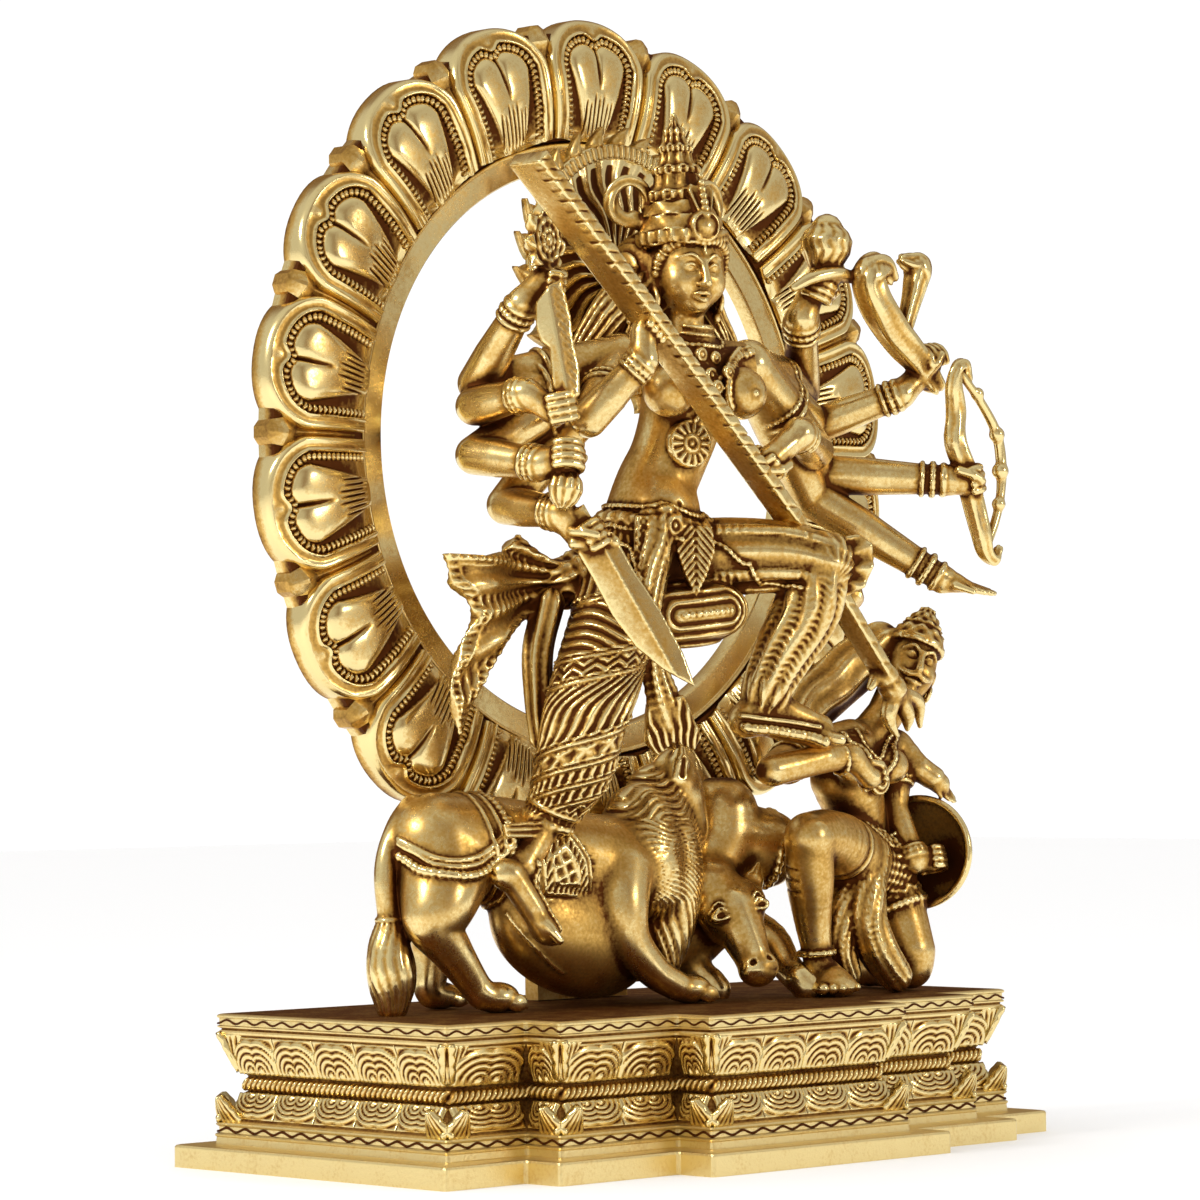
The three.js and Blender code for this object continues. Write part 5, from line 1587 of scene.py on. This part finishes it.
def make_lion():
    form = Form((-112, -46, -0.2), (38, 12, 88), settings("brass_figure").beast_grain / MM)
    form.limb(curve([[-84, -12, 52, 15.5], [-64, -13, 50, 16.5], [-43.5, -14, 47, 16.5], [-22, -17, 44, 16],
                     [-6, -19, 43, 15.5]], 4), 3)
    form.ball((-33, -19, 23), (33, 14.5, 19.5), 6, axes=((0.96, 0, -0.28), (0, 1, 0), (0.28, 0, 0.96)))
    form.limb([[-6, -18, 46, 15], [6, -17, 56, 11]], 4)

    def mane(s, turn, x, y, z):
        """Fine strands that leave the face sideways and turn down over the chest."""
        low = clamp((58 - z) / 26)
        way = (1 - low) * (z - 0.3 * x) + low * (x + 0.3 * z) + 1.5 * np.sin(x * 0.33 + z * 0.1)
        return 0.62 * np.abs(np.cos(np.pi * way / 2.5)) - 0.3
    form.limb(curve([[7, -17, 66, 9.5], [6, -19, 56, 12], [6, -21, 45, 12.8], [5, -23, 34, 11.4],
                     [3, -25, 23, 8.8], [1, -26.5, 14, 5.6]], 5), 2, mane)
    form.limb(curve([[-3, -20, 58, 11.5], [-5, -23, 47, 12.5], [-3, -25, 36, 10.5]], 5), 2, mane)
    face = axes_of((0.1, -1, 0), (-0.24, 0, 1))
    form.ball((13.5, -20, 65), (9.4, 9.0, 15.5), 1.2, axes=face)
    form.ball((16.5, -20, 55), (7.6, 8.4, 9), 3, axes=face)
    form.limb([[17, -15, 72, 6.5], [25, -11, 76, 4.8]], 3)
    form.limb([[8.6, -25, 71, 3.4], [9.4, -25.5, 76, 3.3], [11, -25, 83, 0.9]], 1)
    form.limb([[8.2, -28.8, 72, 1.4], [9.0, -28.6, 77, 0.9]], 0.6, cut=True)
    form.limb([[20, -12, 72, 3.0], [20.5, -10, 79, 2.4], [22, -9, 83, 1.0]], 1)
    form.limb([[28.6, -13, 76.5, 0.5], [25, -15.2, 73.2, 0.5], [21, -15.8, 71.5, 0.4]], 0.3, cut=True)
    form.ball((19.5, -17.4, 75.4), (1.8, 1.2, 1.2), 0.4)
    for side in (-1, 1):
        form.ball((29.2, -11 + side * 1.6, 78), (0.8, 0.8, 0.8), 0.3, cut=True)
    for path in ([[-82, -14, 45, 15.5], [-90, -20, 34, 11.5], [-93, -21, 28, 8.6], [-87, -22, 20, 6.6],
                  [-79, -23, 10, 5.0], [-76, -24, 6, 4.8]],
                 [[-78, -1, 42, 12], [-73, 2, 28, 8.6], [-71, 3, 20, 7], [-73, 3, 8, 5.0], [-72, 3, 5.5, 5]],
                 [[-18, -26, 42, 10.5], [-22, -30, 32, 9], [-21, -32.5, 21, 6.8], [-13, -35, 11, 5.4],
                  [-5, -37, 6, 4.8]],
                 [[6, -12, 34, 9], [13, -14, 22, 6.4], [18, -15, 16, 5], [21, -15, 13, 4.8]]):
        form.limb(curve(path, 9), 2.5)
    paw(form, (-70.5, -25, 4.6), (1, -0.2), 1.15)
    paw(form, (-68, 3, 4.3), (1, -0.1), 1.0)
    paw(form, (1, -37.5, 4.6), (1, -0.25), 1.12)
    paw(form, (24, -15.5, 11.5), (1, -0.1), 0.8)
    seam = form.settle(curve([[-66, -24, 30, 0.45], [-56, -29, 17, 0.45], [-46, -30, 9, 0.45]], 5), 0.1)
    form.limb(seam, 0.3)
    tuft = lambda s, turn, x, y, z: 0.5 * np.abs(np.cos(turn * 7 + 0.5 * np.sin(s * 0.3))) - 0.2
    form.limb(curve([[-88, -7, 62, 4.8], [-97, -7.5, 54, 3.4], [-101, -8, 43, 3.2], [-100, -9, 28, 3.4]], 6), 1.5)
    form.limb(curve([[-100, -9, 29, 3.4], [-101, -10, 20, 6.4], [-100.5, -10.5, 12, 7.4], [-101, -11, 3.5, 5]], 5),
              0.8, tuft)
    form.ball((-100, -9, 29), (4.6, 4.6, 1.5), 0.3)

    swag = curve([[-101, -13, 52, 0.9], [-98, -23, 47.5, 0.9], [-90, -29, 45.5, 0.9], [-80, -30, 47, 0.9],
                  [-72, -28, 51.5, 0.9], [-66, -26, 57, 0.9]], 8)
    for drop, radius, pitch in ((1.8, 0.85, None), (-0.4, 0.85, None), (-3.6, 1.7, 2.3)):
        band = swag + (0, 0, drop, 0)
        band[:, 3] = radius
        form.limb(form.settle(band, 0.2), 0.25, beads(0.6, pitch))
    girth = hoop((-68, -13, 50), (0.25, 1, 0), (-0.25, 0, 1), (16, 16.6), 48, 0.8)
    for shift in (-2.2, 2.2):
        line = girth + (shift, 0, 0, 0)
        form.limb(form.settle(line, 0.15), 0.2)
    for i in range(15):
        a = -0.2 + 0.13 * i
        spot = form.settle([[-68, -13 - 16 * math.cos(a), 50 + 16.6 * math.sin(a), 1]], 0.05)[0, :3]
        form.ball(spot, (1.5, 1.5, 1.0), 0.25)
    kite = np.array([(-60, 50), (-47, 60), (-38, 47), (-34, 31), (-45, 32.5), (-57, 33.5)])

    def cloth(x, y, z):
        edge = outline_distance(x, z, kite)
        across, along = x + 0.45 * z, z - 0.45 * x
        lines = [np.abs(np.cos(np.pi * way / 4.2)) for way in (across, along)]
        hatch = 0.9 * np.maximum(*lines) ** 3 - 0.6
        border = sum(0.8 * crest(edge + k, 0.5) for k in (0.7, 2.8, 6.2)) - 0.3
        scroll = 0.5 * cycle(across - along, 3.0) * ((edge < -3.2) & (edge > -5.4))
        return np.where(edge < -6.5, hatch, border + scroll) + 0.75 - 9 * clamp(edge / 0.6)
    form.ball((-44, -15.5, 45), (24, 17.6, 19), 0.4, relief=cloth)
    lion = form_object("lion_body", form, 100000)
    wipe(lion, (-70, -14, 50), np.eye(3), (-40, -40, -30), (30, 40, 30), 0.8)
    finish(lion, "lion", POLISHED)


def make_buffalo():
    form = Form((-20, -50, -0.2), (62, 8, 70), settings("brass_figure").beast_grain / MM)
    form.limb(curve([[-6, -8, 16, 11], [8, -9, 19, 13], [22, -10, 20, 13.5], [30, -12, 26, 14]], 4), 3)
    form.limb(curve([[24, -10, 24, 15], [31, -14, 40, 13.6], [37, -16, 50, 12.8], [38, -16, 59, 12.2]], 4), 2)
    form.limb([[38, -15, 51, 13.2], [53, -21, 47.5, 12.8]], 1.5)
    form.limb([[50, -20, 48.2, 9.4], [64, -25.5, 45, 9.8]], 0.8, cut=True)
    for centre, reach, steps, radius, pitch in (((53.6, -21.3, 47.4), 12.0, 44, 1.7, 3.0),
                                                ((54.6, -21.7, 47.2), 9.4, 40, 0.9, None)):
        collar = hoop(centre, (0.38, 0.92, 0.1), (0.2, 0, 1), (reach, reach), steps, radius)
        form.limb(collar, 0.3, beads(0.6, pitch))
    axes = axes_of((-0.42, -0.84, 0.32), (-0.12, 0.35, 1))
    spot = spotter(np.array((25.5, -33.5, 28)), axes)
    form.limb([[24, -24, 34, 11], [*spot(0, -4, 0), 10]], 3)
    form.ball(spot(0, 0, 2), (11.8, 6.4, 8.5), 3, axes)
    form.limb(curve([spot(0, -0.6, 0, 8.6), spot(0, 0.4, -8, 7.4), spot(0, 1.0, -15, 6.0),
                     spot(0, 1.6, -20, 6.0)], 4), 2)
    form.ball(spot(0, 2.6, -20.5), (6.6, 5.0, 4.8), 1.5, axes)
    form.limb([spot(0, 5.2, 4, 1.6), spot(0, 6.6, -6, 1.5), spot(0, 6.0, -15, 2.4)], 2.5)
    form.limb(curve([spot(-5.6, 5.4, -22.6, 0.5), spot(0, 8.0, -23.4, 0.5), spot(5.6, 5.4, -22.6, 0.5)], 4), 0.3,
              cut=True)
    for side in (-1, 1):
        form.ball(spot(side * 2.9, 6.8, -18.8), (1.1, 1.2, 0.8), 0.4, axes, cut=True)
        form.ball(spot(side * 7.4, 4.6, -1.2), (3.2, 2.2, 2.2), 0.8, axes)
        form.ball(spot(side * 7.6, 6.4, -1.4), (1.5, 0.9, 1.0), 0.2, axes, cut=True)
        for rise, bulge in ((0.2, 2.4), (-0.6, -2.6), (1.8, 3.0)):
            form.limb(curve([spot(side * 4.0, 6.6, rise - 1.4, 0.35),
                             spot(side * 7.0, 6.6, rise + bulge * 0.6 - 0.6, 0.5),
                             spot(side * 10.4, 3.4, rise - 1.2, 0.35)], 5), 0.25)
        form.limb([spot(side * 7, -1, 4.5, 4.6), spot(side * 11, -1.2, 8.5, 3.4), spot(side * 14.5, -1, 13, 0.9)],
                  1.5, squash=(axes[1], 1.5))
    form.limb(curve([[42, -18, 24, 7.5], [50, -26, 18, 6], [50, -33, 10, 5], [49, -39, 6, 4.8]], 4), 2)
    form.limb([[49, -40, 6, 5.0], [50, -42.5, 2.8, 5.0]], 0.6)
    form.limb(curve([[22, -14, 14, 7], [24, -19, 8, 5.4], [26, -22, 5, 4.8]], 4), 2)
    form.limb([[26, -22, 5, 5.0], [27, -23.5, 2.8, 5.0]], 0.6)
    form.limb([[45, -36, 9, 0.4], [50, -43.5, 8.4, 0.4], [55, -40, 9, 0.4]], 0.3, cut=True)
    buffalo = form_object("buffalo_body", form, 46000)
    finish(buffalo, "buffalo", POLISHED)


def make_demon():
    form = Form((20, -66, -0.2), (130, -8, 130), settings("brass_figure").body_grain / MM)
    form.limb(curve([[92, -29, 41, 11.5], [90.5, -29.5, 51, 9.2], [86, -31, 60, 10], [80.5, -32.5, 70, 12]], 4), 2.5)
    form.limb([[61, -33, 79.5, 6.3], [82, -33, 81, 8.5], [104, -32, 79.5, 6.3]], 3)
    for x in (74, 91):
        form.ball((x, -42, 74), (8, 4.6, 6), 3)
    form.limb([[90, -34, 84, 6.6], [97, -35, 91, 6.2], [102, -35, 98, 6.2]], 2)
    axes = axes_of((-0.4, -0.88, 0.18), (0.5, 0, 1))
    centre = np.array((108.5, -36, 107.0))
    spot = spotter(centre, axes)
    form.ball(centre, (8.6, 9.0, 11.8), 2, axes)
    form.ball(spot(0, 1.4, -5.4), (7.0, 7.0, 6.8), 3, axes)
    for side in (-1, 1):
        form.ball(spot(side * 3.9, 5.3, -3.0), 3.0, 2.5, axes)
        form.ball(spot(side * 3.3, 8.6, 1.2), (2.5, 1.5, 1.6), 0.9, axes, cut=True)
        form.ball(spot(side * 3.2, 6.6, 1.0), (2.2, 1.6, 1.4), 0.3, axes)
        form.limb(curve([spot(side * 1.0, 8.9, 3.0, 0.6), spot(side * 3.6, 8.5, 4.4, 0.65),
                         spot(side * 6.4, 6.2, 2.8, 0.4)], 4), 0.5)
        form.limb(curve([spot(side * 1.3, 7.8, 0.8, 0.3), spot(side * 3.3, 8.3, 2.2, 0.42),
                         spot(side * 5.6, 6.7, 1.0, 0.3)], 4), 0.25)
        form.limb(curve([spot(side * 0.6, 10.0, -5.4, 1.0), spot(side * 3.4, 9.2, -5.8, 1.05),
                         spot(side * 6.2, 7.0, -4.2, 0.6)], 4), 0.5, flutes(0.2, 6))
        form.ball(spot(side * 8.8, -1, -1), (1.4, 2.2, 3.4), 0.6, axes)
        form.limb(hoop(spot(side * 9.0, -0.6, -6.6), axes[1], axes[2], (2.2, 2.4), 18, 0.8), 0.3)
    form.limb([spot(0, 8.6, 2.8, 0.9), spot(0, 9.8, -0.6, 1.05), spot(0, 10.8, -3.4, 1.3)], 1.2)
    form.limb(curve([spot(-2.6, 8.6, -7.6, 0.6), spot(0, 9.4, -7.9, 0.85), spot(2.6, 8.6, -7.6, 0.6)], 4), 0.5)
    form.limb(curve([spot(-2.8, 9.0, -7.0, 0.22), spot(0, 10.2, -7.1, 0.25), spot(2.8, 9.0, -7.0, 0.22)], 4), 0.2,
              cut=True)
    form.ball(spot(0, 7.0, -10.8), (2.8, 2.6, 2.2), 2, axes)
    form.limb(hoop(spot(0, -1, 7.2), axes[0], axes[1], (9.0, 9.4), 40, 1.1), 0.3, beads(0.45, 2.0))
    tiers = [(0, 5.5), (9.0, 6.5), (9.4, 8.4), (8.6, 9.6), (8.0, 12), (6.4, 13.4), (6.8, 14.6), (5.4, 15.6),
             (4.4, 18), (2.6, 19.6), (2.8, 20.6), (0, 22)]
    form.turned(centre, tiers, 0.5, axes[2],
                lambda h, turn, r: 0.4 * np.cos(turn * 9) * cycle(h - 10, 5))
    form.limb(curve([[104, -26, 113, 8.6], [95, -22.5, 107, 9], [86, -20, 100, 8.8], [79, -18, 93.5, 8.2],
                     [73, -17, 87, 6.8]], 5), 2, flutes(0.55, 7, 0.6, 0.35))

    form.limb(curve([[86, -33, 42, 11], [72, -39, 47, 10.4], [58, -44, 51, 9.2], [46.5, -47, 51.5, 8.0]], 5), 2,
              lambda s, turn, x, y, z: np.where(s < 26, 0.5 * cycle(s, 4.4), 0))
    form.limb(curve([[46.5, -47, 50.5, 7.6], [50, -44, 38, 7.8], [53, -42, 26, 6.2], [55, -42, 14, 4.8],
                     [55.5, -42, 7, 4.8]], 4), 1.2)
    for share in (0.2, 0.33, 0.46):
        line = form.settle(hoop(np.array((47, -46.5, 49)) + share * np.array((7.5, 4.5, -29)), (0.7, -0.7, 0.1),
                                (0.7, 0.7, 0.3), (8, 8), 28, 0.42, start=2.2, turn=1.9), 0.05)
        form.limb(line, 0.25, cut=True)
    girdle(form, (54.5, -42, 20), (55.3, -42, 8), 0.5, 5.4, 1.2, 2.2)
    foot(form, (60.5, -38, 5.4), (53.5, -54.5, 4.0), (0, 0, -1), 1.3)
    form.limb([[97, -30, 42, 10.6], [100, -36, 28, 9.6], [100, -42, 13, 8.4]], 2, lambda s, turn, x, y, z: np.where(
        s < 17, 0.55 * np.abs(np.cos(np.pi * s / 3.2)) + 0.35 * np.cos(turn * 11 + np.pi * np.floor(s / 3.2)), 0))
    girdle(form, (97, -30, 42), (100, -36, 26), 0.95, 10.4, 1.5, 2.2)
    form.limb([[100, -42, 8, 7.5], [105, -28, 7, 6.6], [106, -18, 6, 5.4]], 2)
    form.limb([[106, -18, 5, 4.6], [108, -13, 4, 3.6]], 1)
    arm(form, (61.5, -33, 79, 6.8), (25, -51, 73, 5.2), (50, -56, 77, 4.2), bracelet=False)
    form.limb([[26, -51, 73, 5.0], [44, -56, 77, 4.2], [57, -56, 77, 3.8]], 1)
    girdle(form, (26, -51, 73), (57, -56, 77), 0.85, 4.7, 1.1, 2.0)
    fist(form, (57, -56, 77, 3.8), (66, -56.5, 71), (0.3, -0.4, -1), 0.85)
    arm(form, (104, -32, 79, 6.5), (99.5, -36, 60, 5.0), (100, -44, 43, 4.2))
    fist(form, (100, -44, 43, 4.2), (107, -46, 43), (0.1, 0.3, 1), 0.85)
    arm(form, (104, -32, 79, 6.0), (108, -40, 73, 4.6), (114, -43.5, 68, 3.4), bracelet=False, armlet=False)
    open_hand(form, (112, -43, 69.5, 3.4), (118, -45, 63), (0.2, -1, 0.2), 0.62)

    def drape(s, turn, x, y, z):
        strip = turn * 5 / np.pi
        beads = np.abs(np.cos(np.pi * s / 1.9)) * (np.mod(np.floor(strip), 2) < 1)
        return 0.5 * np.abs(np.cos(np.pi * strip)) + 0.35 * beads - 0.3
    form.limb(curve([[82, -39, 44, 8.2], [78, -42, 34, 7.0], [77, -44, 24, 6.4], [80, -46, 14, 6.2],
                     [86, -48, 5.5, 5.4]], 5), 1.5, drape)
    form.limb(curve([[78, -38, 40, 6], [71, -38, 28, 5.2], [69, -39, 16, 4.6], [72, -40, 6, 4.2]], 5), 1.5, drape)
    form.ball((90, -36, 40), (14, 9, 9), 2.5,
              relief=lambda x, y, z: 0.4 * cycle(z + 0.2 * x, 3.0) + 0.3 * cycle(x - 0.4 * z, 2.6))
    for height, radius, lift, blend, relief in ((49, 1.5, 0.3, 0.3, ripples(0.4, 3.2)),
                                                (52, 0.75, 0.4, 0.2, beads(0.35, 1.9)),
                                                (46, 0.75, 0.4, 0.2, beads(0.35, 1.9))):
        belt = hoop((91.5, -29.5, height), (1, 0, -0.1), (0, 1, 0), (11.4, 11.4), 40, radius)
        form.limb(form.settle(belt, lift), blend, relief)
    form.cord([[72, -38, 84], [76, -43, 76], [82, -45, 70], [90, -43, 76], [98, -38, 84]], 1.1, 0.4, 2.2)
    form.cord([[78, -38, 85], [80, -43, 79], [84, -44, 76], [89, -42, 80], [93, -38, 85]], 0.9, 0.4, 2.0)
    medallion(form, (82.5, -45, 69), 0.3, (4.4, 1.8, 4.4), 0.3, 0.35, 2.1)

    # The shield: a shallow dish with a rim, carved on its outer side
    hub, look = np.array((114.5, -37.0, 45.0)), unit((-0.93, -0.3, 0.04))
    a, b, x, y, z = form.window(hub - 24, hub + 24)
    d = [x - hub[0], y - hub[1], z - hub[2]]
    out = dot(d, look)
    r = np.sqrt(np.maximum(dot(d, d) - out * out, 0))
    side = unit(np.cross(look, UP))
    rise = np.cross(look, side)
    turn = np.arctan2(dot(d, rise), dot(d, side))
    reach = 18.5
    dish = 6.0 * (r / reach) ** 2
    carved = 0.3 * np.cos(turn * 16) * ((r > 10) & (r < 15.4)) + 0.35 * cycle(r, 3.4) * (r < 10)
    plate = np.maximum(np.abs(out - dish) - 1.3 - carved * (out < dish), r - reach)
    form.merge(a, b, plate.astype(np.float32), 0.8)
    form.limb(hoop(hub + look * 6, side, rise, (17.8, 17.8), 56, 1.2), 0.4)
    demon = form_object("demon_body", form, 100000)
    wipe(demon, centre, axes, (-8, 0, -14), (8, 20, 6), 0.5)
    finish(demon, "demon", CHASED)


# Stage

def make_stage():
    """A flat white floor, a white world with a dim room that only the brass mirrors, two lamps
    and the camera."""
    looks = settings("brass_looks")
    scene = bpy.context.scene
    # Uncoated paper: even and white, with no gloss that would mirror the brass
    paper = bpy.data.materials.new("Matt white paper")
    paper.use_nodes = True
    shader = paper.node_tree.nodes["Principled BSDF"]
    shader.inputs["Base Color"].default_value = (*looks.paper, 1)
    shader.inputs["Roughness"].default_value = 0.7
    half = 4000
    corners = [(-half, -half, 0), (half, -half, 0), (half, half, 0), (-half, half, 0)]
    floor = mesh_object("floor", corners, [(0, 1, 2, 3)], np.zeros(4), smooth=False)
    floor.data.materials.append(paper)

    world = bpy.data.worlds.new("Studio")
    scene.world = world
    world.use_nodes = True
    tree = world.node_tree
    tree.nodes.clear()
    direction = add_node(tree, "ShaderNodeTexCoord").outputs["Generated"]

    # White screens to the left, above, to the right and near the camera in a dim warm room:
    # their direction, the cosines at which they are full and gone, and their strength
    lit = None
    for way, near, far, strength in (((-0.80, 0.20, 0.55), 0.80, 0.45, 1.15), ((0.15, -0.15, 1.0), 0.93, 0.55, 0.95),
                                     ((0.75, -0.60, 0.30), 0.86, 0.60, 0.75),
                                     ((-0.62, -0.75, 0.22), 0.985, 0.72, 0.8)):
        facing = add_node(tree, "ShaderNodeVectorMath", {0: direction, 1: tuple(unit(way))}, operation="DOT_PRODUCT")
        screen = spread(tree, facing.outputs["Value"], far, near, 0.0, strength)
        lit = screen if lit is None else combined(tree, "MAXIMUM", lit, screen)
    shade = add_node(tree, "ShaderNodeMix", {0: lit, 6: (*looks.room, 1), 7: (1, 1, 1, 1)}, data_type="RGBA")
    room = add_node(tree, "ShaderNodeBackground", {"Strength": 0.66, "Color": shade.outputs[2]})
    white = add_node(tree, "ShaderNodeBackground", {"Strength": 1.07, "Color": (1, 1, 1, 1)})
    glossy = add_node(tree, "ShaderNodeLightPath").outputs["Is Glossy Ray"]
    mixed = add_node(tree, "ShaderNodeMixShader", {0: glossy, 1: white.outputs[0], 2: room.outputs[0]})
    add_node(tree, "ShaderNodeOutputWorld", {"Surface": mixed.outputs[0]})

    aim = Vector((0, -20, 170)) * MM
    for name, place, extent, power in (("key", (-1100, 100, 900), 300, 5.5), ("strip", (500, -1300, 500), 260, 2.4)):
        light = bpy.data.lights.new(name, "AREA")
        light.shape = "SQUARE"
        light.size = extent * MM
        light.energy = power
        lamp = bpy.data.objects.new(name, light)
        lamp.location = Vector(place) * MM
        lamp.rotation_euler = (aim - lamp.location).to_track_quat("-Z", "Y").to_euler()
        scene.collection.objects.link(lamp)

    camera = bpy.data.cameras.new("camera")
    camera.lens, camera.sensor_width = 136.1, 36
    camera.clip_end = 50
    eye = bpy.data.objects.new("camera", camera)
    turn, tilt, roll = (math.radians(v) for v in (-44.43, -1.944, -0.56))
    back = Vector((math.sin(turn) * math.cos(tilt), -math.cos(turn) * math.cos(tilt), math.sin(tilt)))
    right = Vector((math.cos(turn), math.sin(turn), 0))
    level = Matrix((right, back.cross(right), back)).transposed()
    place = Matrix.Translation(Vector((-1020.72, -1041.03, 125.76)) * MM)
    eye.matrix_world = place @ (level @ Matrix.Rotation(roll, 3, "Z")).to_4x4()
    scene.collection.objects.link(eye)
    scene.camera = eye
    scene.view_settings.view_transform = "Standard"


# Operators and panel

class Undoable:
    """What the building operators share."""
    bl_options = {"REGISTER", "UNDO"}


class BuildPlinthBody(Undoable, bpy.types.Operator):
    """Build the stepped body of the plinth with its slab"""
    bl_idname = "mesh.build_plinth_body"
    bl_label = "Plinth body"

    def execute(self, context):
        make_plinth_body()
        return {"FINISHED"}


class BuildPlinthPetals(Undoable, bpy.types.Operator):
    """Build both rows of lotus petals round the plinth"""
    bl_idname = "mesh.build_plinth_petals"
    bl_label = "Plinth petals"

    def execute(self, context):
        make_plinth_petals()
        return {"FINISHED"}


class BuildPlinthLeaves(Undoable, bpy.types.Operator):
    """Build the leaves on the plinth's corners"""
    bl_idname = "mesh.build_plinth_leaves"
    bl_label = "Plinth corner leaves"

    def execute(self, context):
        make_plinth_leaves()
        return {"FINISHED"}


class BuildPlinthTrim(Undoable, bpy.types.Operator):
    """Build the wave lines and the ribbed roll of the plinth"""
    bl_idname = "mesh.build_plinth_trim"
    bl_label = "Plinth trim"

    def execute(self, context):
        make_plinth_trim()
        return {"FINISHED"}


class BuildRingBand(Undoable, bpy.types.Operator):
    """Build the smooth band of the ring and its foot"""
    bl_idname = "mesh.build_ring_band"
    bl_label = "Ring band"

    def execute(self, context):
        make_ring_band()
        return {"FINISHED"}


class BuildRingPetals(Undoable, bpy.types.Operator):
    """Build the lotus petals of the ring"""
    bl_idname = "mesh.build_ring_petals"
    bl_label = "Ring petals"

    def execute(self, context):
        make_ring_petals()
        return {"FINISHED"}


class BuildNimbus(Undoable, bpy.types.Operator):
    """Build the ribbed arch of flames behind the goddess's head"""
    bl_idname = "mesh.build_nimbus"
    bl_label = "Flame arch"

    def execute(self, context):
        make_nimbus()
        return {"FINISHED"}


class BuildTrident(Undoable, bpy.types.Operator):
    """Build the long trident"""
    bl_idname = "mesh.build_trident"
    bl_label = "Trident"

    def execute(self, context):
        make_trident()
        return {"FINISHED"}


class BuildGoddessBody(Undoable, bpy.types.Operator):
    """Build the goddess's body, dress and ornaments"""
    bl_idname = "mesh.build_goddess_body"
    bl_label = "Goddess's body"

    def execute(self, context):
        make_goddess_body()
        return {"FINISHED"}


class BuildGoddessHead(Undoable, bpy.types.Operator):
    """Build the goddess's head, hair and crown"""
    bl_idname = "mesh.build_goddess_head"
    bl_label = "Goddess's head"

    def execute(self, context):
        make_goddess_head()
        return {"FINISHED"}


class BuildRightArms(Undoable, bpy.types.Operator):
    """Build the goddess's right arms and what they hold"""
    bl_idname = "mesh.build_right_arms"
    bl_label = "Right arms"

    def execute(self, context):
        make_right_arms()
        return {"FINISHED"}


class BuildLeftArms(Undoable, bpy.types.Operator):
    """Build the goddess's left arms and what they hold"""
    bl_idname = "mesh.build_left_arms"
    bl_label = "Left arms"

    def execute(self, context):
        make_left_arms()
        return {"FINISHED"}


class BuildLion(Undoable, bpy.types.Operator):
    """Build the lion"""
    bl_idname = "mesh.build_lion"
    bl_label = "Lion"

    def execute(self, context):
        make_lion()
        return {"FINISHED"}


class BuildBuffalo(Undoable, bpy.types.Operator):
    """Build the fallen buffalo and its head"""
    bl_idname = "mesh.build_buffalo"
    bl_label = "Buffalo"

    def execute(self, context):
        make_buffalo()
        return {"FINISHED"}


class BuildDemon(Undoable, bpy.types.Operator):
    """Build the kneeling demon with the shield"""
    bl_idname = "mesh.build_demon"
    bl_label = "Demon"

    def execute(self, context):
        make_demon()
        return {"FINISHED"}


class BuildStage(Undoable, bpy.types.Operator):
    """Build the floor, the lights and the camera"""
    bl_idname = "mesh.build_brass_stage"
    bl_label = "Stage"

    def execute(self, context):
        make_stage()
        return {"FINISHED"}


OPERATORS = (BuildPlinthBody, BuildPlinthPetals, BuildPlinthLeaves, BuildPlinthTrim,
             BuildRingBand, BuildRingPetals, BuildNimbus, BuildTrident,
             BuildGoddessBody, BuildGoddessHead, BuildRightArms, BuildLeftArms,
             BuildLion, BuildBuffalo, BuildDemon, BuildStage)


class BrassPanel(bpy.types.Panel):
    """Lists the sizes and colours, and the steps that build the group"""
    bl_label = "Brass Durga Group"
    bl_idname = "VIEW3D_PT_brass_durga_group"
    bl_space_type = "VIEW_3D"
    bl_region_type = "UI"
    bl_category = "Brass"

    def draw(self, context):
        for key, group in PROPERTY_GROUPS.items():
            box = self.layout.box()
            for name in group.__annotations__:
                box.prop(getattr(context.scene, key), name)
        for operator in OPERATORS:
            self.layout.operator(operator.bl_idname)


def register():
    for kind in (*PROPERTY_GROUPS.values(), *OPERATORS, BrassPanel):
        bpy.utils.register_class(kind)
    for name, group in PROPERTY_GROUPS.items():
        setattr(bpy.types.Scene, name, bpy.props.PointerProperty(type=group))


def unregister():
    for name in PROPERTY_GROUPS:
        delattr(bpy.types.Scene, name)
    for kind in (BrassPanel, *OPERATORS[::-1], *PROPERTY_GROUPS.values()):
        bpy.utils.unregister_class(kind)


def main():
    register()
    for operator in OPERATORS:
        family, name = operator.bl_idname.split(".")
        getattr(getattr(bpy.ops, family), name)()


if __name__ == "__main__":
    main()
